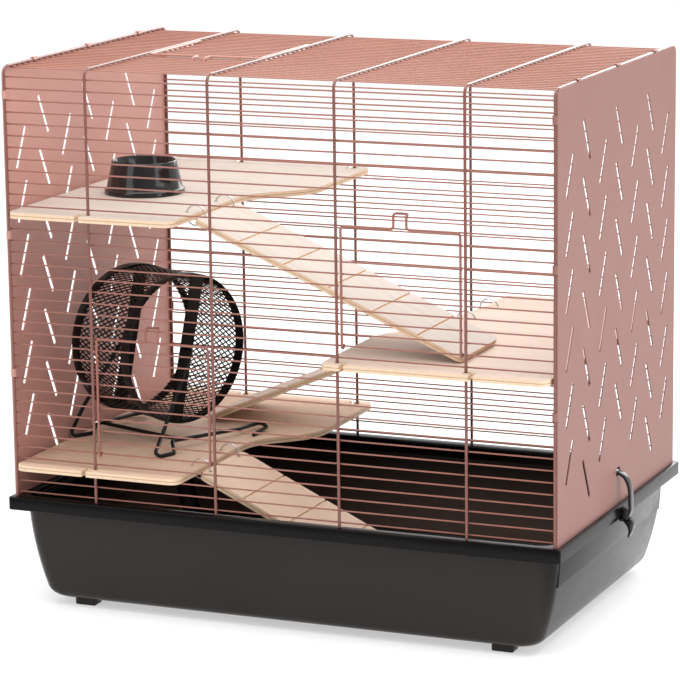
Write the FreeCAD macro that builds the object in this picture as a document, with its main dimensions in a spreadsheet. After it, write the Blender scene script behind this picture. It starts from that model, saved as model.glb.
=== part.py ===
import FreeCAD
import Part
import Sketcher
import math
import os

# Rodent cage: a deep plastic tray that carries a wire cage with sheet metal ends, three
# plywood shelves joined by hanging ramps, a mesh running wheel on a wire stand and a bowl.
# X runs along the length, Y from the front to the back and Z up, in millimetres.
# The origin is on the ground, in the middle of the footprint.

SIZES = (
    # Tray
    ("tray_length", 580, "tray rim, end to end"),
    ("tray_width", 370, "tray rim, front to back"),
    ("rim_height", 113, "top of the rim above the ground"),
    ("rim_band", 13, "height of the band that hangs from the rim"),
    ("rim_corner", 3.5, "corner radius of the rim, seen from above"),
    ("tray_wall", 2.5, "wall of the tray"),
    ("tub_end_inset", 10, "rim edge to tub at the ends"),
    ("tub_side_inset", 11, "rim edge to tub at the front and back"),
    ("tub_end_tuck", 20, "how far the ends curve in towards the bottom"),
    ("tub_side_tuck", 7, "how far the front and back lean in"),
    ("tub_corner", 18, "upright corner radius of the tub"),
    ("tub_heel", 10, "radius where the walls turn into the floor"),
    ("belt_height", 32, "height of the raised belt on each end"),
    ("belt_depth", 3, "how far the belt stands out"),
    ("foot_height", 8, "height of the feet under the tub"),
    ("foot_length", 22, "length of a foot"),
    ("foot_width", 16, "width of a foot"),
    ("foot_from_end", 68, "rim end to the middle of a foot"),
    ("foot_from_side", 37, "rim side to the middle of a foot"),
    # Wire cage
    ("cage_height", 430, "top of the hoops above the rim"),
    ("cage_inset", 7.5, "rim edge to the middle of the hoops"),
    ("hoop_wire", 3.0, "wire of the hoops"),
    ("hoop_bend", 8, "bend of the hoops at the roof, on the middle of the wire"),
    ("hoop_pitch", 130, "spacing of the hoops between the ends"),
    ("bar_wire", 1.6, "wire of the bars"),
    ("bar_pitch", 11.5, "spacing of the bars"),
    ("bar_first", 4.5, "lowest bar above the rim"),
    ("bar_overrun", 1.2, "how far the bars run past the end hoops"),
    ("weld_gap", 0.1, "space left at a weld"),
    # Doors
    ("door_wire", 2.5, "wire of the door frames"),
    ("door_pitches", 10, "height of a door, in bar spacings"),
    ("door_side_gap", 5, "middle of a hoop to the middle of the door frame"),
    ("door_bend", 4, "top corners of the door frames"),
    ("door_play", 0.3, "play of the door eyes on the hinge bar"),
    ("eye_tail", 1.2, "straight end of a door eye"),
    ("latch_span", 13, "width of the latch loop"),
    ("latch_bend", 3, "bends of the latch loop"),
    ("latch_reach", 4, "how far the latch loop hooks over its bar"),
    ("latch_play", 0.4, "space between the latch loop and its bar"),
    ("right_door_row", 15, "hinge bar of the right front door"),
    ("left_door_row", 4, "hinge bar of the left front door"),
    ("roof_door_row", 6, "hinge bar of the roof door, counted from the middle to the back"),
    # End panels
    ("panel_sheet", 1.0, "thickness of the end panels"),
    ("tab_height", 8, "height of the tabs that curl round the hoops"),
    ("tab_rows", 12, "spacing of the tabs, in bar spacings"),
    ("top_tab_spacing", 115, "spacing of the tabs on the roof hoop"),
    ("slit_length", 44, "length of a slit"),
    ("slit_width", 5, "width of a slit"),
    ("slit_slant", 26, "slant of the slits from upright, in degrees"),
    ("slit_column", 48, "spacing of the slit columns"),
    ("slit_row", 54, "spacing of the slits in a column"),
    ("slit_border", 26, "plain border round the slits"),
    ("clip_slot", 9, "height of the slot for the clip"),
    # Shelves
    ("shelf_thickness", 6, "plywood of the shelves"),
    ("shelf_overhang", 10.5, "how far the shelves run past the hoops"),
    ("shelf_end_gap", 2, "shelf to end hoop"),
    ("shelf_narrow", 177.5, "reach of the shelf at its narrow end"),
    ("shelf_step", 51, "how much further the shelf reaches at its wide end"),
    ("shelf_step_middle", 13, "middle of the step in the edge, from the middle of the cage"),
    ("shelf_step_span", 52, "length of the step in the edge"),
    ("shelf_step_round", 55, "rounding of the step"),
    ("shelf_corner", 10, "rounding of the corners"),
    ("slot_width", 5, "width of the slots for the hoops"),
    ("slot_shift", 8, "mouth of a slot to its hoop"),
    ("upper_shelf_row", 24, "bar under the upper shelf"),
    ("middle_shelf_row", 13, "bar under the middle shelf"),
    ("lower_shelf_row", 2, "bar under the lower shelf"),
    ("rest_gap", 0.05, "space left where a piece rests"),
    # Ramps and their rings
    ("ramp_short_of_tray", 280, "how much shorter a ramp is than the tray"),
    ("ramp_width", 98, "width of a ramp"),
    ("ramp_thickness", 6, "plywood of the ramps"),
    ("ramp_corner", 7, "rounding of the ramp corners"),
    ("ramp_from_side", 82.5, "middle of the hoops to the middle of a ramp"),
    ("ramp_lift", 0.3, "space under the foot of a ramp"),
    ("groove_pitch", 50, "spacing of the foothold grooves"),
    ("groove_width", 2, "width of a groove"),
    ("groove_depth", 1.6, "depth of a groove"),
    ("ring_radius", 10, "middle of the wire of a ring"),
    ("ring_wire", 1.6, "wire of a ring"),
    ("ring_opening", 12, "opening between the ends of a ring, in degrees"),
    ("ring_spacing", 66, "spacing of the two rings of a ramp"),
    ("ring_hole", 4, "holes for the rings"),
    ("ring_margin", 4, "hole to the end of a ramp"),
    ("ring_inset", 12, "hole to the edge of a shelf"),
    # Bowl
    ("bowl_foot", 81, "diameter at the foot"),
    ("bowl_mouth", 66, "diameter at the lip"),
    ("bowl_height", 33, "height of the bowl"),
    ("bowl_ledge", 5, "height of the ledge round the foot"),
    ("bowl_ledge_width", 2, "width of the ledge"),
    ("bowl_ledge_bevel", 1, "bevel of the ledge"),
    ("bowl_wall", 2.5, "wall of the bowl"),
    ("bowl_dish", 8, "underside of the dish above the shelf"),
    ("bowl_dish_lean", 6, "how far the side of the dish leans in"),
    ("bowl_dish_heel", 5, "slope between the side and the floor of the dish"),
    ("bowl_from_end", 85, "end of the rim to the middle of the bowl"),
    ("bowl_y", -34, "place of the bowl from front to back"),
    # Wheel and stand
    ("wheel_diameter", 154, "outside of the rim bands"),
    ("wheel_width", 90, "width of the wheel"),
    ("wheel_band", 12, "width of a rim band"),
    ("wheel_band_sheet", 1.2, "thickness of the rim bands"),
    ("wheel_mesh_sheet", 0.7, "thickness of the mesh"),
    ("mesh_rows", 3, "rows of mesh openings"),
    ("mesh_columns", 24, "flat fields of mesh round the wheel"),
    ("mesh_strand", 4, "metal left between the openings"),
    ("crossbar_width", 16, "width of the bars across the wheel"),
    ("crossbar_sheet", 1.5, "thickness of the bars across the wheel"),
    ("crossbar_tilt", 13, "how far the wheel is turned, in degrees"),
    ("wheel_clearance", 16, "wheel above the shelf"),
    ("wheel_turn", -24, "direction of the wheel axis from X, in degrees"),
    ("wheel_from_end", 83, "end of the rim to the middle of the wheel"),
    ("wheel_y", -8, "place of the wheel from front to back"),
    ("stand_wire", 4, "wire of the stand"),
    ("stand_bend", 4, "bends of the stand, on the middle of the wire"),
    ("stand_gap", 8, "wheel to the middle of the uprights"),
    ("tie_place", 0.12, "place of the tie wire along the base run, as a share"),
    ("tie_gap", 0.35, "space left at the ends of the tie wire"),
    ("pivot_play", 0.3, "play of the wheel on its pivots"),
    ("pivot_grip", 4, "how far a pivot reaches into the wheel"),
    # Clips
    ("clip_width", 9, "width of a clip"),
    ("clip_sheet", 3, "thickness of a clip"),
    ("clip_rise", 32, "nose of a clip above the rim"),
    ("clip_nose", 3.6, "how far the nose reaches through the panel"),
    ("clip_bow", 13, "how far a clip stands out from the rim"),
    ("clip_drop", 33, "tail of a clip below the rim"),
    ("clip_shoulder", 7, "bow of a clip to its upper bend"),
    ("clip_bend", 16, "bends at the ends of the bow"),
    ("clip_tail_bend", 2.3, "bend between the hook and the tail"),
    ("clip_hook_gap", 0.7, "hook of a clip below the rim band"),
)

# Levels of the tub's walls, and of the turn of its walls into the floor, as shares
TUB_LEVELS = (0.0, 0.4, 1.0)
HEEL_LEVELS = (0.0, 0.35)

# Flat sides that stand in for round ones where a shape repeats, and runs in a bend
WIRE_SIDES = 6
BAR_SIDES = 4
HOLE_SIDES = 8
BOWL_SIDES = 32
CORNER_RUNS = 4
RING_RUNS = 9
BEND_RUNS = 3
HOOP_BEND_RUNS = 3
CURL_RUNS = 4

# How far a cutting shape runs past the surface that it cuts, in millimetres
PAST = 1

doc = FreeCAD.newDocument("rodent_cage")
sheet = doc.addObject("Spreadsheet::Sheet", "sizes")
for row, (alias, value, meaning) in enumerate(SIZES, 1):
    sheet.set(f"A{row}", meaning)
    sheet.set(f"B{row}", str(value))
    sheet.setAlias(f"B{row}", alias)
doc.recompute()

nodes = []


def size(alias):
    """A driving dimension, read from the sheet."""
    return float(getattr(sheet, alias))


def value_of(expression):
    """The number that an expression on the sheet gives."""
    result = sheet.evalExpression(expression)
    return float(getattr(result, "Value", result))


def bind(thing, **expressions):
    """Tie properties of an object to expressions on the sheet."""
    for path, expression in expressions.items():
        thing.setExpression(path.replace("__", "."), expression)


def keep(thing, label):
    """Name a finished sub-part and list it for export."""
    thing.Label = label
    nodes.append(thing)
    return thing


def vector(x, y, z):
    return FreeCAD.Vector(x, y, z)


def turned(axis, degrees):
    return FreeCAD.Rotation(axis, degrees)


AXIS_X = vector(1, 0, 0)
AXIS_Y = vector(0, 1, 0)
AXIS_Z = vector(0, 0, 1)

# Places that several pieces share, as expressions on the sheet

HOOP_Y = "(sizes.tray_width / 2 - sizes.cage_inset)"
HOOP_END_X = "(sizes.tray_length / 2 - sizes.cage_inset)"
ROOF_Z = "(sizes.rim_height + sizes.cage_height - sizes.hoop_wire / 2)"
BAR_STEP_IN = "((sizes.hoop_wire + sizes.bar_wire) / 2 + sizes.weld_gap)"
BAR_END_X = f"({HOOP_END_X} + sizes.bar_overrun)"
TUB_LENGTH = "(sizes.tray_length - 2 * sizes.tub_end_inset)"
TUB_WIDTH = "(sizes.tray_width - 2 * sizes.tub_side_inset)"
TUB_TOP = "(sizes.rim_height - sizes.tray_wall)"
SHELF_TOP = "(sizes.rim_height + sizes.bar_first + sizes.{0}_shelf_row * sizes.bar_pitch" \
            " + sizes.bar_wire / 2 + sizes.rest_gap + sizes.shelf_thickness)"


def row_height(row):
    """Height of a bar of the front or back wall, as an expression."""
    return f"(sizes.rim_height + sizes.bar_first + {row} * sizes.bar_pitch)"


def hoop_place(index):
    """Place along X of the hoop with this index: -2 to 2 between the ends, never 0."""
    side = math.copysign(1, index)
    return f"({side} * (abs({index}) - 0.5) * sizes.hoop_pitch)"


# Sketches and wires


def new_body(label):
    body = doc.addObject("PartDesign::Body", label)
    return keep(body, label)


def new_sketch(body, role, label, offset="0"):
    """An empty sketch on one of the body's own planes, moved along its normal."""
    sketch = body.newObject("Sketcher::SketchObject", label)
    plane = next(part for part in body.Origin.OriginFeatures if part.Role == role)
    sketch.AttachmentSupport = [(plane, "")]
    sketch.MapMode = "FlatFace"
    bind(sketch, AttachmentOffset__Base__z=offset)
    return sketch


def pin_point(sketch, edge, end, x, y):
    """Fix one point of a sketch at a place given by two expressions."""
    for direction, expression in (("DistanceX", x), ("DistanceY", y)):
        constraint = Sketcher.Constraint(direction, -1, 1, edge, end, value_of(expression))
        number = sketch.addConstraint(constraint)
        sketch.setExpression(f"Constraints[{number}]", expression)


def add_polygon(sketch, points):
    """A closed outline of straight lines; each point is a pair of expressions."""
    places = [vector(value_of(x), value_of(y), 0) for x, y in points]
    first = sketch.GeometryCount
    count = len(points)
    for index in range(count):
        sketch.addGeometry(Part.LineSegment(places[index], places[(index + 1) % count]))
    for index, (x, y) in enumerate(points):
        following = first + (index + 1) % count
        sketch.addConstraint(Sketcher.Constraint("Coincident", first + index, 2, following, 1))
        pin_point(sketch, first + index, 1, x, y)


def add_rectangle(sketch, low_x, low_y, high_x, high_y):
    add_polygon(sketch, ((low_x, low_y), (high_x, low_y), (high_x, high_y), (low_x, high_y)))


def add_circle(sketch, x, y, diameter):
    centre = vector(value_of(x), value_of(y), 0)
    circle = sketch.addGeometry(Part.Circle(centre, AXIS_Z, value_of(diameter) / 2))
    pin_point(sketch, circle, 3, x, y)
    number = sketch.addConstraint(Sketcher.Constraint("Diameter", circle, value_of(diameter)))
    sketch.setExpression(f"Constraints[{number}]", diameter)


def add_small_hole(sketch, x, y, diameter):
    """A hole with a few flat sides, for holes that repeat."""
    points = []
    for side in range(HOLE_SIDES):
        angle = 360 * (side + 0.5) / HOLE_SIDES
        corner_x = f"{x} + {diameter} / 2 * cos({angle})"
        corner_y = f"{y} + {diameter} / 2 * sin({angle})"
        points.append((corner_x, corner_y))
    add_polygon(sketch, points)


def add_rounded_rectangle(sketch, length, width, corner):
    """A centred rectangle with each corner rounded by a few straight runs; the sizes are expressions."""
    points = []
    for quarter, (side_x, side_y) in enumerate(((1, 1), (-1, 1), (-1, -1), (1, -1))):
        for run in range(CORNER_RUNS + 1):
            angle = 90 * (quarter + run / CORNER_RUNS)
            x = f"({side_x}) * ({length} / 2 - {corner}) + {corner} * cos({angle})"
            y = f"({side_y}) * ({width} / 2 - {corner}) + {corner} * sin({angle})"
            points.append((x, y))
    add_polygon(sketch, points)


def pad(body, sketch, length, label, reverse=False, middle=False):
    feature = body.newObject("PartDesign::Pad", label)
    feature.Profile = sketch
    bind(feature, Length=length)
    feature.Reversed = reverse
    feature.Midplane = middle
    return feature


def pocket(body, sketch, depth, label, reverse=False, middle=False):
    """A cut that must take material away."""
    doc.recompute()
    before = body.Shape.Volume
    feature = body.newObject("PartDesign::Pocket", label)
    feature.Profile = sketch
    bind(feature, Length=depth)
    feature.Reversed = reverse
    feature.Midplane = middle
    doc.recompute()
    if body.Shape.Volume >= before:
        raise RuntimeError(f"{label} cuts nothing")
    return feature


def round_edges(body, feature, places, radius, label):
    """Round the upright edges of a body's flat board at the given places."""
    doc.recompute()
    names = []
    for number, edge in enumerate(feature.Shape.Edges, 1):
        start, end = edge.Vertexes[0].Point, edge.Vertexes[-1].Point
        upright = abs(start.x - end.x) + abs(start.y - end.y) < 1e-6
        wanted = any(math.hypot(start.x - x, start.y - y) < 1e-3 for x, y in places)
        if upright and wanted:
            names.append(f"Edge{number}")
    fillet = body.newObject("PartDesign::Fillet", label)
    fillet.Base = (feature, names)
    bind(fillet, Radius=radius)
    return fillet


def regular_polygon(centre, direction, radius, sides):
    """A closed outline with its corners on a circle."""
    turn = FreeCAD.Rotation(AXIS_Z, direction)
    corners = []
    for side in range(sides + 1):
        angle = 2 * math.pi * side / sides
        corners.append(centre + turn.multVec(vector(math.cos(angle), math.sin(angle), 0)) * radius)
    return Part.makePolygon(corners)


def smooth_route(points, bends, runs):
    """A route with each inner corner rounded by a few short runs on an arc."""
    route = [points[0]]
    for before, corner, after, bend in zip(points, points[1:], points[2:], bends):
        towards = (before - corner).normalize()
        away = (after - corner).normalize()
        half_turn = (math.pi - towards.getAngle(away)) / 2
        cut = bend * math.tan(half_turn)
        centre = corner + (towards + away).normalize() * (bend / math.cos(half_turn))
        arm = corner + towards * cut - centre
        axis = arm.cross(corner + away * cut - centre)
        for run in range(runs + 1):
            swing = turned(axis, math.degrees(2 * half_turn) * run / runs)
            place = centre + swing.multVec(arm)
            if place.distanceToPoint(route[-1]) > 1e-6:
                route.append(place)
    route.append(points[-1])
    return route


def sweep(route, section):
    """A solid of one section along straight runs, mitred where they meet."""
    return Part.makePolygon(route).makePipeShell([section], True, False, 1)


def wire_along(route, diameter):
    """A wire along a route."""
    section = regular_polygon(route[0], route[1] - route[0], diameter / 2, WIRE_SIDES)
    return sweep(route, section)


def bent_wire(points, bends, diameter, runs=BEND_RUNS):
    """A wire bent at the inner points of a route."""
    return wire_along(smooth_route(points, bends, runs), diameter)


def keep_shape(label, shape, place=None):
    """A sub-part whose shape is worked out here from the sheet's sizes."""
    feature = doc.addObject("Part::Feature", label)
    feature.Shape = shape
    if place:
        feature.Placement = place
    return keep(feature, label)


# Tray


def tub_section(body, label, depth, extra):
    """One level of the tub: depth runs from 0 at the rim to 1 at the floor."""
    height = f"(sizes.foot_height + (1 - {depth}) * ({TUB_TOP} - sizes.foot_height))"
    length = f"({TUB_LENGTH} - 2 * sizes.tub_end_tuck * {depth} ^ 2 - 2 * {extra})"
    width = f"({TUB_WIDTH} - 2 * sizes.tub_side_tuck * {depth} - 2 * {extra})"
    sketch = new_sketch(body, "XY_Plane", label, height)
    add_rounded_rectangle(sketch, length, width, "sizes.tub_corner")
    return sketch


def tub_loft(body, kind, label, wall):
    """The tub's outside, or its hollow when a wall is given."""
    tub_depth = value_of(f"{TUB_TOP} - sizes.foot_height")
    floor_depth = 1 - value_of(wall) / tub_depth
    heel = size("tub_heel") - value_of(wall)
    sections = []
    for step in HEEL_LEVELS:
        rise = heel * step
        inset = heel - math.sqrt(heel ** 2 - (heel - rise) ** 2)
        sections.append((floor_depth - rise / tub_depth, f"({wall} + {inset})"))
    heel_top = floor_depth - heel / tub_depth
    for level in TUB_LEVELS:
        sections.append((heel_top * (1 - level), wall))
    sketches = []
    for number, (depth, extra) in enumerate(sections):
        sketches.append(tub_section(body, f"{label}_level_{number}", depth, extra))
    loft = body.newObject(kind, label)
    loft.Profile = sketches[0]
    loft.Sections = sketches[1:]
    loft.Ruled = True
    return loft


def build_tray():
    body = new_body("base_tray")
    tub_loft(body, "PartDesign::AdditiveLoft", "tub", "0")
    flange = new_sketch(body, "XY_Plane", "flange_outline", "sizes.rim_height")
    add_rounded_rectangle(flange, "sizes.tray_length", "sizes.tray_width", "sizes.rim_corner")
    pad(body, flange, "sizes.tray_wall", "flange", reverse=True)
    band = new_sketch(body, "XY_Plane", "band_outline", "sizes.rim_height")
    add_rounded_rectangle(band, "sizes.tray_length", "sizes.tray_width", "sizes.rim_corner")
    inner_length = "(sizes.tray_length - 2 * sizes.tray_wall)"
    inner_width = "(sizes.tray_width - 2 * sizes.tray_wall)"
    inner_corner = "(sizes.rim_corner - sizes.tray_wall)"
    add_rounded_rectangle(band, inner_length, inner_width, inner_corner)
    pad(body, band, "sizes.rim_band", "band", reverse=True)
    belt = new_sketch(body, "XY_Plane", "belt_outline", "sizes.rim_height - sizes.tray_wall")
    belt_end = f"({TUB_LENGTH} / 2 + sizes.belt_depth)"
    belt_side = f"({TUB_WIDTH} / 2 - sizes.tub_corner)"
    add_rectangle(belt, f"-{belt_end}", f"-{belt_side}", belt_end, belt_side)
    pad(body, belt, "sizes.rim_band - sizes.tray_wall + sizes.belt_height", "belt", reverse=True)
    feet = new_sketch(body, "XY_Plane", "feet_outline")
    for side_x in (-1, 1):
        for side_y in (-1, 1):
            x = f"({side_x}) * (sizes.tray_length / 2 - sizes.foot_from_end)"
            y = f"({side_y}) * (sizes.tray_width / 2 - sizes.foot_from_side)"
            add_rectangle(feet, f"{x} - sizes.foot_length / 2", f"{y} - sizes.foot_width / 2",
                          f"{x} + sizes.foot_length / 2", f"{y} + sizes.foot_width / 2")
    pad(body, feet, "sizes.foot_height + sizes.tray_wall", "feet")
    tub_loft(body, "PartDesign::SubtractiveLoft", "hollow", "sizes.tray_wall")
    mouth = new_sketch(body, "XY_Plane", "mouth_outline", "sizes.rim_height")
    mouth_length = f"({TUB_LENGTH} - 2 * sizes.tray_wall)"
    mouth_width = f"({TUB_WIDTH} - 2 * sizes.tray_wall)"
    add_rounded_rectangle(mouth, mouth_length, mouth_width, "sizes.tub_corner")
    pocket(body, mouth, "sizes.tray_wall", "mouth")


# Wire cage


def hoop_points(x):
    """The route of a hoop: up the front, over the roof and down the back."""
    y, low, high = value_of(HOOP_Y), size("rim_height"), value_of(ROOF_Z)
    return [vector(x, -y, low), vector(x, -y, high), vector(x, y, high), vector(x, y, low)]


def build_hoops():
    places = {
        "hoop_left_end": f"-{HOOP_END_X}",
        "hoop_left_outer": hoop_place(-2),
        "hoop_left_inner": hoop_place(-1),
        "hoop_right_inner": hoop_place(1),
        "hoop_right_outer": hoop_place(2),
        "hoop_right_end": HOOP_END_X,
    }
    bends = [size("hoop_bend")] * 2
    for label, place in places.items():
        points = hoop_points(value_of(place))
        keep_shape(label, bent_wire(points, bends, size("hoop_wire"), HOOP_BEND_RUNS))


def add_bar(name, low_x, high_x, y, z):
    """One straight bar along X between two places."""
    bar = doc.addObject("Part::Prism", name)
    bar.Polygon = BAR_SIDES
    bar.Placement = FreeCAD.Placement(vector(0, 0, 0), turned(AXIS_Y, 90))
    bind(bar, Circumradius="sizes.bar_wire / 2", Height=f"{high_x} - {low_x}")
    bind(bar, Placement__Base__x=low_x, Placement__Base__y=y, Placement__Base__z=z)
    return bar


def group(label, members):
    compound = doc.addObject("Part::Compound", label)
    compound.Links = members
    return keep(compound, label)


def follow_bend(along, along_start, straight):
    """Keep a bar inside the rounded corner of the hoops."""
    past = f"({along} - {along_start})"
    inner = f"(sizes.hoop_bend - {BAR_STEP_IN})"
    if value_of(past) <= 0:
        return straight
    return f"({straight} - {inner} + sqrt({inner} ^ 2 - {past} ^ 2))"


def wall_depth(row):
    """Distance of a wall bar from the middle of the cage."""
    bend_start = f"({ROOF_Z} - sizes.hoop_bend)"
    return follow_bend(row_height(row), bend_start, f"({HOOP_Y} - {BAR_STEP_IN})")


def wall_rows():
    top = value_of("sizes.cage_height - sizes.hoop_wire - 2 * sizes.bar_wire - sizes.bar_first")
    return range(int(top / size("bar_pitch")) + 1)


def door_gap_rows(hinge_row):
    """Rows that are cut away behind a door."""
    first = int(size(hinge_row))
    return range(first + 1, first + int(size("door_pitches")))


def bar_runs(row, gaps):
    """The stretches of one row, cut between two hoops where a door leaves a gap."""
    low = f"-{BAR_END_X}"
    runs = []
    for hoop, rows in gaps:
        if row in rows:
            runs.append((low, f"({hoop_place(hoop[0])} + sizes.hoop_wire / 2)"))
            low = f"({hoop_place(hoop[1])} - sizes.hoop_wire / 2)"
    runs.append((low, BAR_END_X))
    return runs


LEFT_BAY = (-2, -1)
RIGHT_BAY = (1, 2)


def build_walls():
    left_gap = (LEFT_BAY, door_gap_rows("left_door_row"))
    right_gap = (RIGHT_BAY, door_gap_rows("right_door_row"))
    front_gaps = (left_gap, right_gap)
    for label, side, gaps in (("front_bars", "-", front_gaps), ("back_bars", "", ())):
        bars = []
        for row in wall_rows():
            for low, high in bar_runs(row, gaps):
                name = f"{label}_{row}_{len(bars)}"
                bars.append(add_bar(name, low, high, f"{side}{wall_depth(row)}", row_height(row)))
        group(label, bars)


def build_roof():
    reach = int(value_of(f"({HOOP_Y} - sizes.bar_pitch) / sizes.bar_pitch"))
    hinge = int(size("roof_door_row"))
    gap_rows = range(hinge - int(size("door_pitches")) + 1, hinge)
    bars = []
    for row in range(-reach, reach + 1):
        y = f"({row} * sizes.bar_pitch)"
        bend_start = f"({HOOP_Y} - sizes.hoop_bend)"
        z = follow_bend(f"(abs({row}) * sizes.bar_pitch)", bend_start, f"({ROOF_Z} - {BAR_STEP_IN})")
        for low, high in bar_runs(row, ((LEFT_BAY, gap_rows),)):
            bars.append(add_bar(f"roof_bars_{row + reach}_{len(bars)}", low, high, y, z))
    group("roof_bars", bars)


# Doors: each is made upright with its hinge bar on the local X axis and its outside at -Y


def door_frame():
    """One wire: an eye, a side, the top with the latch loop, a side and an eye."""
    half = size("hoop_pitch") / 2 - size("door_side_gap")
    out = (size("bar_wire") + size("door_wire")) / 2 + size("door_play")
    top = size("door_pitches") * size("bar_pitch")
    hook = top + size("bar_pitch") + (size("bar_wire") + size("door_wire")) / 2 + size("latch_play")
    prong, reach = size("latch_span") / 2, size("latch_reach")
    right = [
        vector(prong, reach, hook),
        vector(prong, -out, hook),
        vector(prong, -out, top),
        vector(half, -out, top),
        vector(half, -out, -out),
        vector(half, out, -out),
        vector(half, out, size("eye_tail")),
    ]
    left = [vector(-point.x, point.y, point.z) for point in reversed(right)]
    latch, corner = size("latch_bend"), size("door_bend")
    right_bends = [latch, latch, latch, corner, out, out]
    return bent_wire(left + right, right_bends[::-1] + right_bends, size("door_wire"))


def door_bars(label, place):
    half = "(sizes.hoop_pitch / 2 - sizes.door_side_gap + sizes.door_wire / 2)"
    behind = "(sizes.weld_gap - sizes.door_play)"
    bars = []
    for row in range(1, int(size("door_pitches"))):
        bar = doc.addObject("Part::Prism", f"{label}_{row}")
        bar.Polygon = BAR_SIDES
        bind(bar, Circumradius="sizes.bar_wire / 2", Height=f"2 * {half}")
        local = vector(-value_of(half), value_of(behind), row * size("bar_pitch"))
        bar.Placement = place.multiply(FreeCAD.Placement(local, turned(AXIS_Y, 90)))
        bars.append(bar)
    group(label, bars)


def build_doors():
    left_x = value_of(f"({hoop_place(-2)} + {hoop_place(-1)}) / 2")
    right_x = value_of(f"({hoop_place(1)} + {hoop_place(2)}) / 2")
    front_y = -value_of(f"{HOOP_Y} - {BAR_STEP_IN}")
    lying = FreeCAD.Rotation(vector(-1, 0, 0), vector(0, 0, -1), vector(0, -1, 0))
    upright = FreeCAD.Rotation()
    roof_z = value_of(f"{ROOF_Z} - {BAR_STEP_IN}")
    roof = vector(left_x, size("roof_door_row") * size("bar_pitch"), roof_z)
    left = vector(left_x, front_y, value_of(row_height("sizes.left_door_row")))
    right = vector(right_x, front_y, value_of(row_height("sizes.right_door_row")))
    doors = (
        ("front_left_door", left, upright),
        ("front_right_door", right, upright),
        ("roof_door", roof, lying),
    )
    for label, base, rotation in doors:
        place = FreeCAD.Placement(base, rotation)
        keep_shape(f"{label}_frame", door_frame(), place)
        door_bars(f"{label}_bars", place)


# End panels


def slit(y, z, slant):
    """One slanted slit as a closed outline in the plane X = 0."""
    turn = turned(AXIS_X, slant)
    half_w, half_l = size("slit_width") / 2, size("slit_length") / 2
    corners = ((-half_w, -half_l), (half_w, -half_l), (half_w, half_l), (-half_w, half_l))
    points = [turn.multVec(vector(0, cy, cz)) + vector(0, y, z) for cy, cz in corners]
    return Part.makePolygon(points + points[:1])


def herringbone():
    """Columns of slits that lean left and right in turn, clear of the border and the clip slot."""
    column, pitch, border = size("slit_column"), size("slit_row"), size("slit_border")
    side = value_of(HOOP_Y) - border
    low = size("rim_height") + border + size("slit_length") / 2
    high = value_of(ROOF_Z) - border - size("slit_length") / 2
    clear_y = size("clip_width") / 2 + column / 2
    clear_z = size("rim_height") + size("clip_rise") + size("clip_slot") + size("slit_length") / 2
    columns = int(side / column)
    slits = []
    for number in range(-columns, columns + 1):
        y = number * column
        leaning = size("slit_slant") * (-1) ** number
        z = low + (number % 2) * pitch / 2
        while z <= high:
            if abs(y) > clear_y or z > clear_z:
                slits.append(slit(y, z, leaning))
            z += pitch
    return slits


def half_curl(height):
    """A tab curled half way round a hoop at the origin, on its -Y side."""
    inner = size("hoop_wire") / 2 + size("weld_gap")
    outer = inner + size("panel_sheet")
    there, back = range(CURL_RUNS + 1), range(CURL_RUNS, -1, -1)
    outline = []
    for radius, runs in ((outer, there), (inner, back)):
        for run in runs:
            angle = math.pi * (1 + run / CURL_RUNS)
            reach = radius / math.cos(math.pi / CURL_RUNS / 2) if 0 < run < CURL_RUNS else radius
            outline.append(vector(reach * math.cos(angle), reach * math.sin(angle), 0))
    return Part.Face(Part.makePolygon(outline + outline[:1])).extrude(vector(0, 0, height))


def panel_tabs(hoop_x):
    """Tabs down the front and back edges, half way between two bars, and along the top edge."""
    tab, tabs = size("tab_height"), []
    hoop_y, roof_z = value_of(HOOP_Y), value_of(ROOF_Z)
    row = wall_rows()[-1] - 1.5
    while row > 0:
        z = value_of(row_height(row)) - tab / 2
        for side in (-1, 1):
            curl = half_curl(tab)
            curl.rotate(vector(0, 0, 0), AXIS_Z, 90 + 90 * side)
            curl.translate(vector(hoop_x, side * hoop_y, z))
            tabs.append(curl)
        row -= size("tab_rows")
    for number in (-1, 0, 1):
        curl = half_curl(tab)
        curl.rotate(vector(0, 0, 0), AXIS_X, -90)
        curl.translate(vector(hoop_x, number * size("top_tab_spacing") - tab / 2, roof_z))
        tabs.append(curl)
    return tabs


def build_panel(label, side):
    """A sheet outside the end hoop, with slits, a slot for the clip and tabs round the hoop."""
    hoop_x = side * value_of(HOOP_END_X)
    gap = size("hoop_wire") / 2 + size("weld_gap")
    edge = smooth_route(hoop_points(0), [size("hoop_bend")] * 2, HOOP_BEND_RUNS)
    outline = Part.makePolygon(edge + edge[:1])
    half_slot = size("clip_width") / 2 + size("panel_sheet")
    slot_z = size("rim_height") + size("clip_rise")
    slot_low, slot_high = slot_z - size("clip_slot") / 2, slot_z + size("clip_slot") / 2
    slot_points = [vector(0, -half_slot, slot_low), vector(0, half_slot, slot_low),
                   vector(0, half_slot, slot_high), vector(0, -half_slot, slot_high)]
    slot = Part.makePolygon(slot_points + slot_points[:1])
    face = Part.makeFace([outline, slot] + herringbone(), "Part::FaceMakerBullseye")
    sheet_metal = face.extrude(vector(side * size("panel_sheet"), 0, 0))
    sheet_metal.translate(vector(hoop_x + side * gap, 0, 0))
    keep_shape(label, sheet_metal.multiFuse(panel_tabs(hoop_x)).removeSplitter())


# Shelves


SHELF_SIDE = f"(sizes.hoop_wire / 2 + sizes.shelf_end_gap - {HOOP_END_X})"
SHELF_FRONT = f"({HOOP_Y} + sizes.shelf_overhang)"
SHELF_NARROW = f"({SHELF_SIDE} + sizes.shelf_narrow)"
RAMP_OFFSET = f"({HOOP_Y} - sizes.ramp_from_side)"
RAMP_LENGTH = "(sizes.tray_length - sizes.ramp_short_of_tray)"


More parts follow.
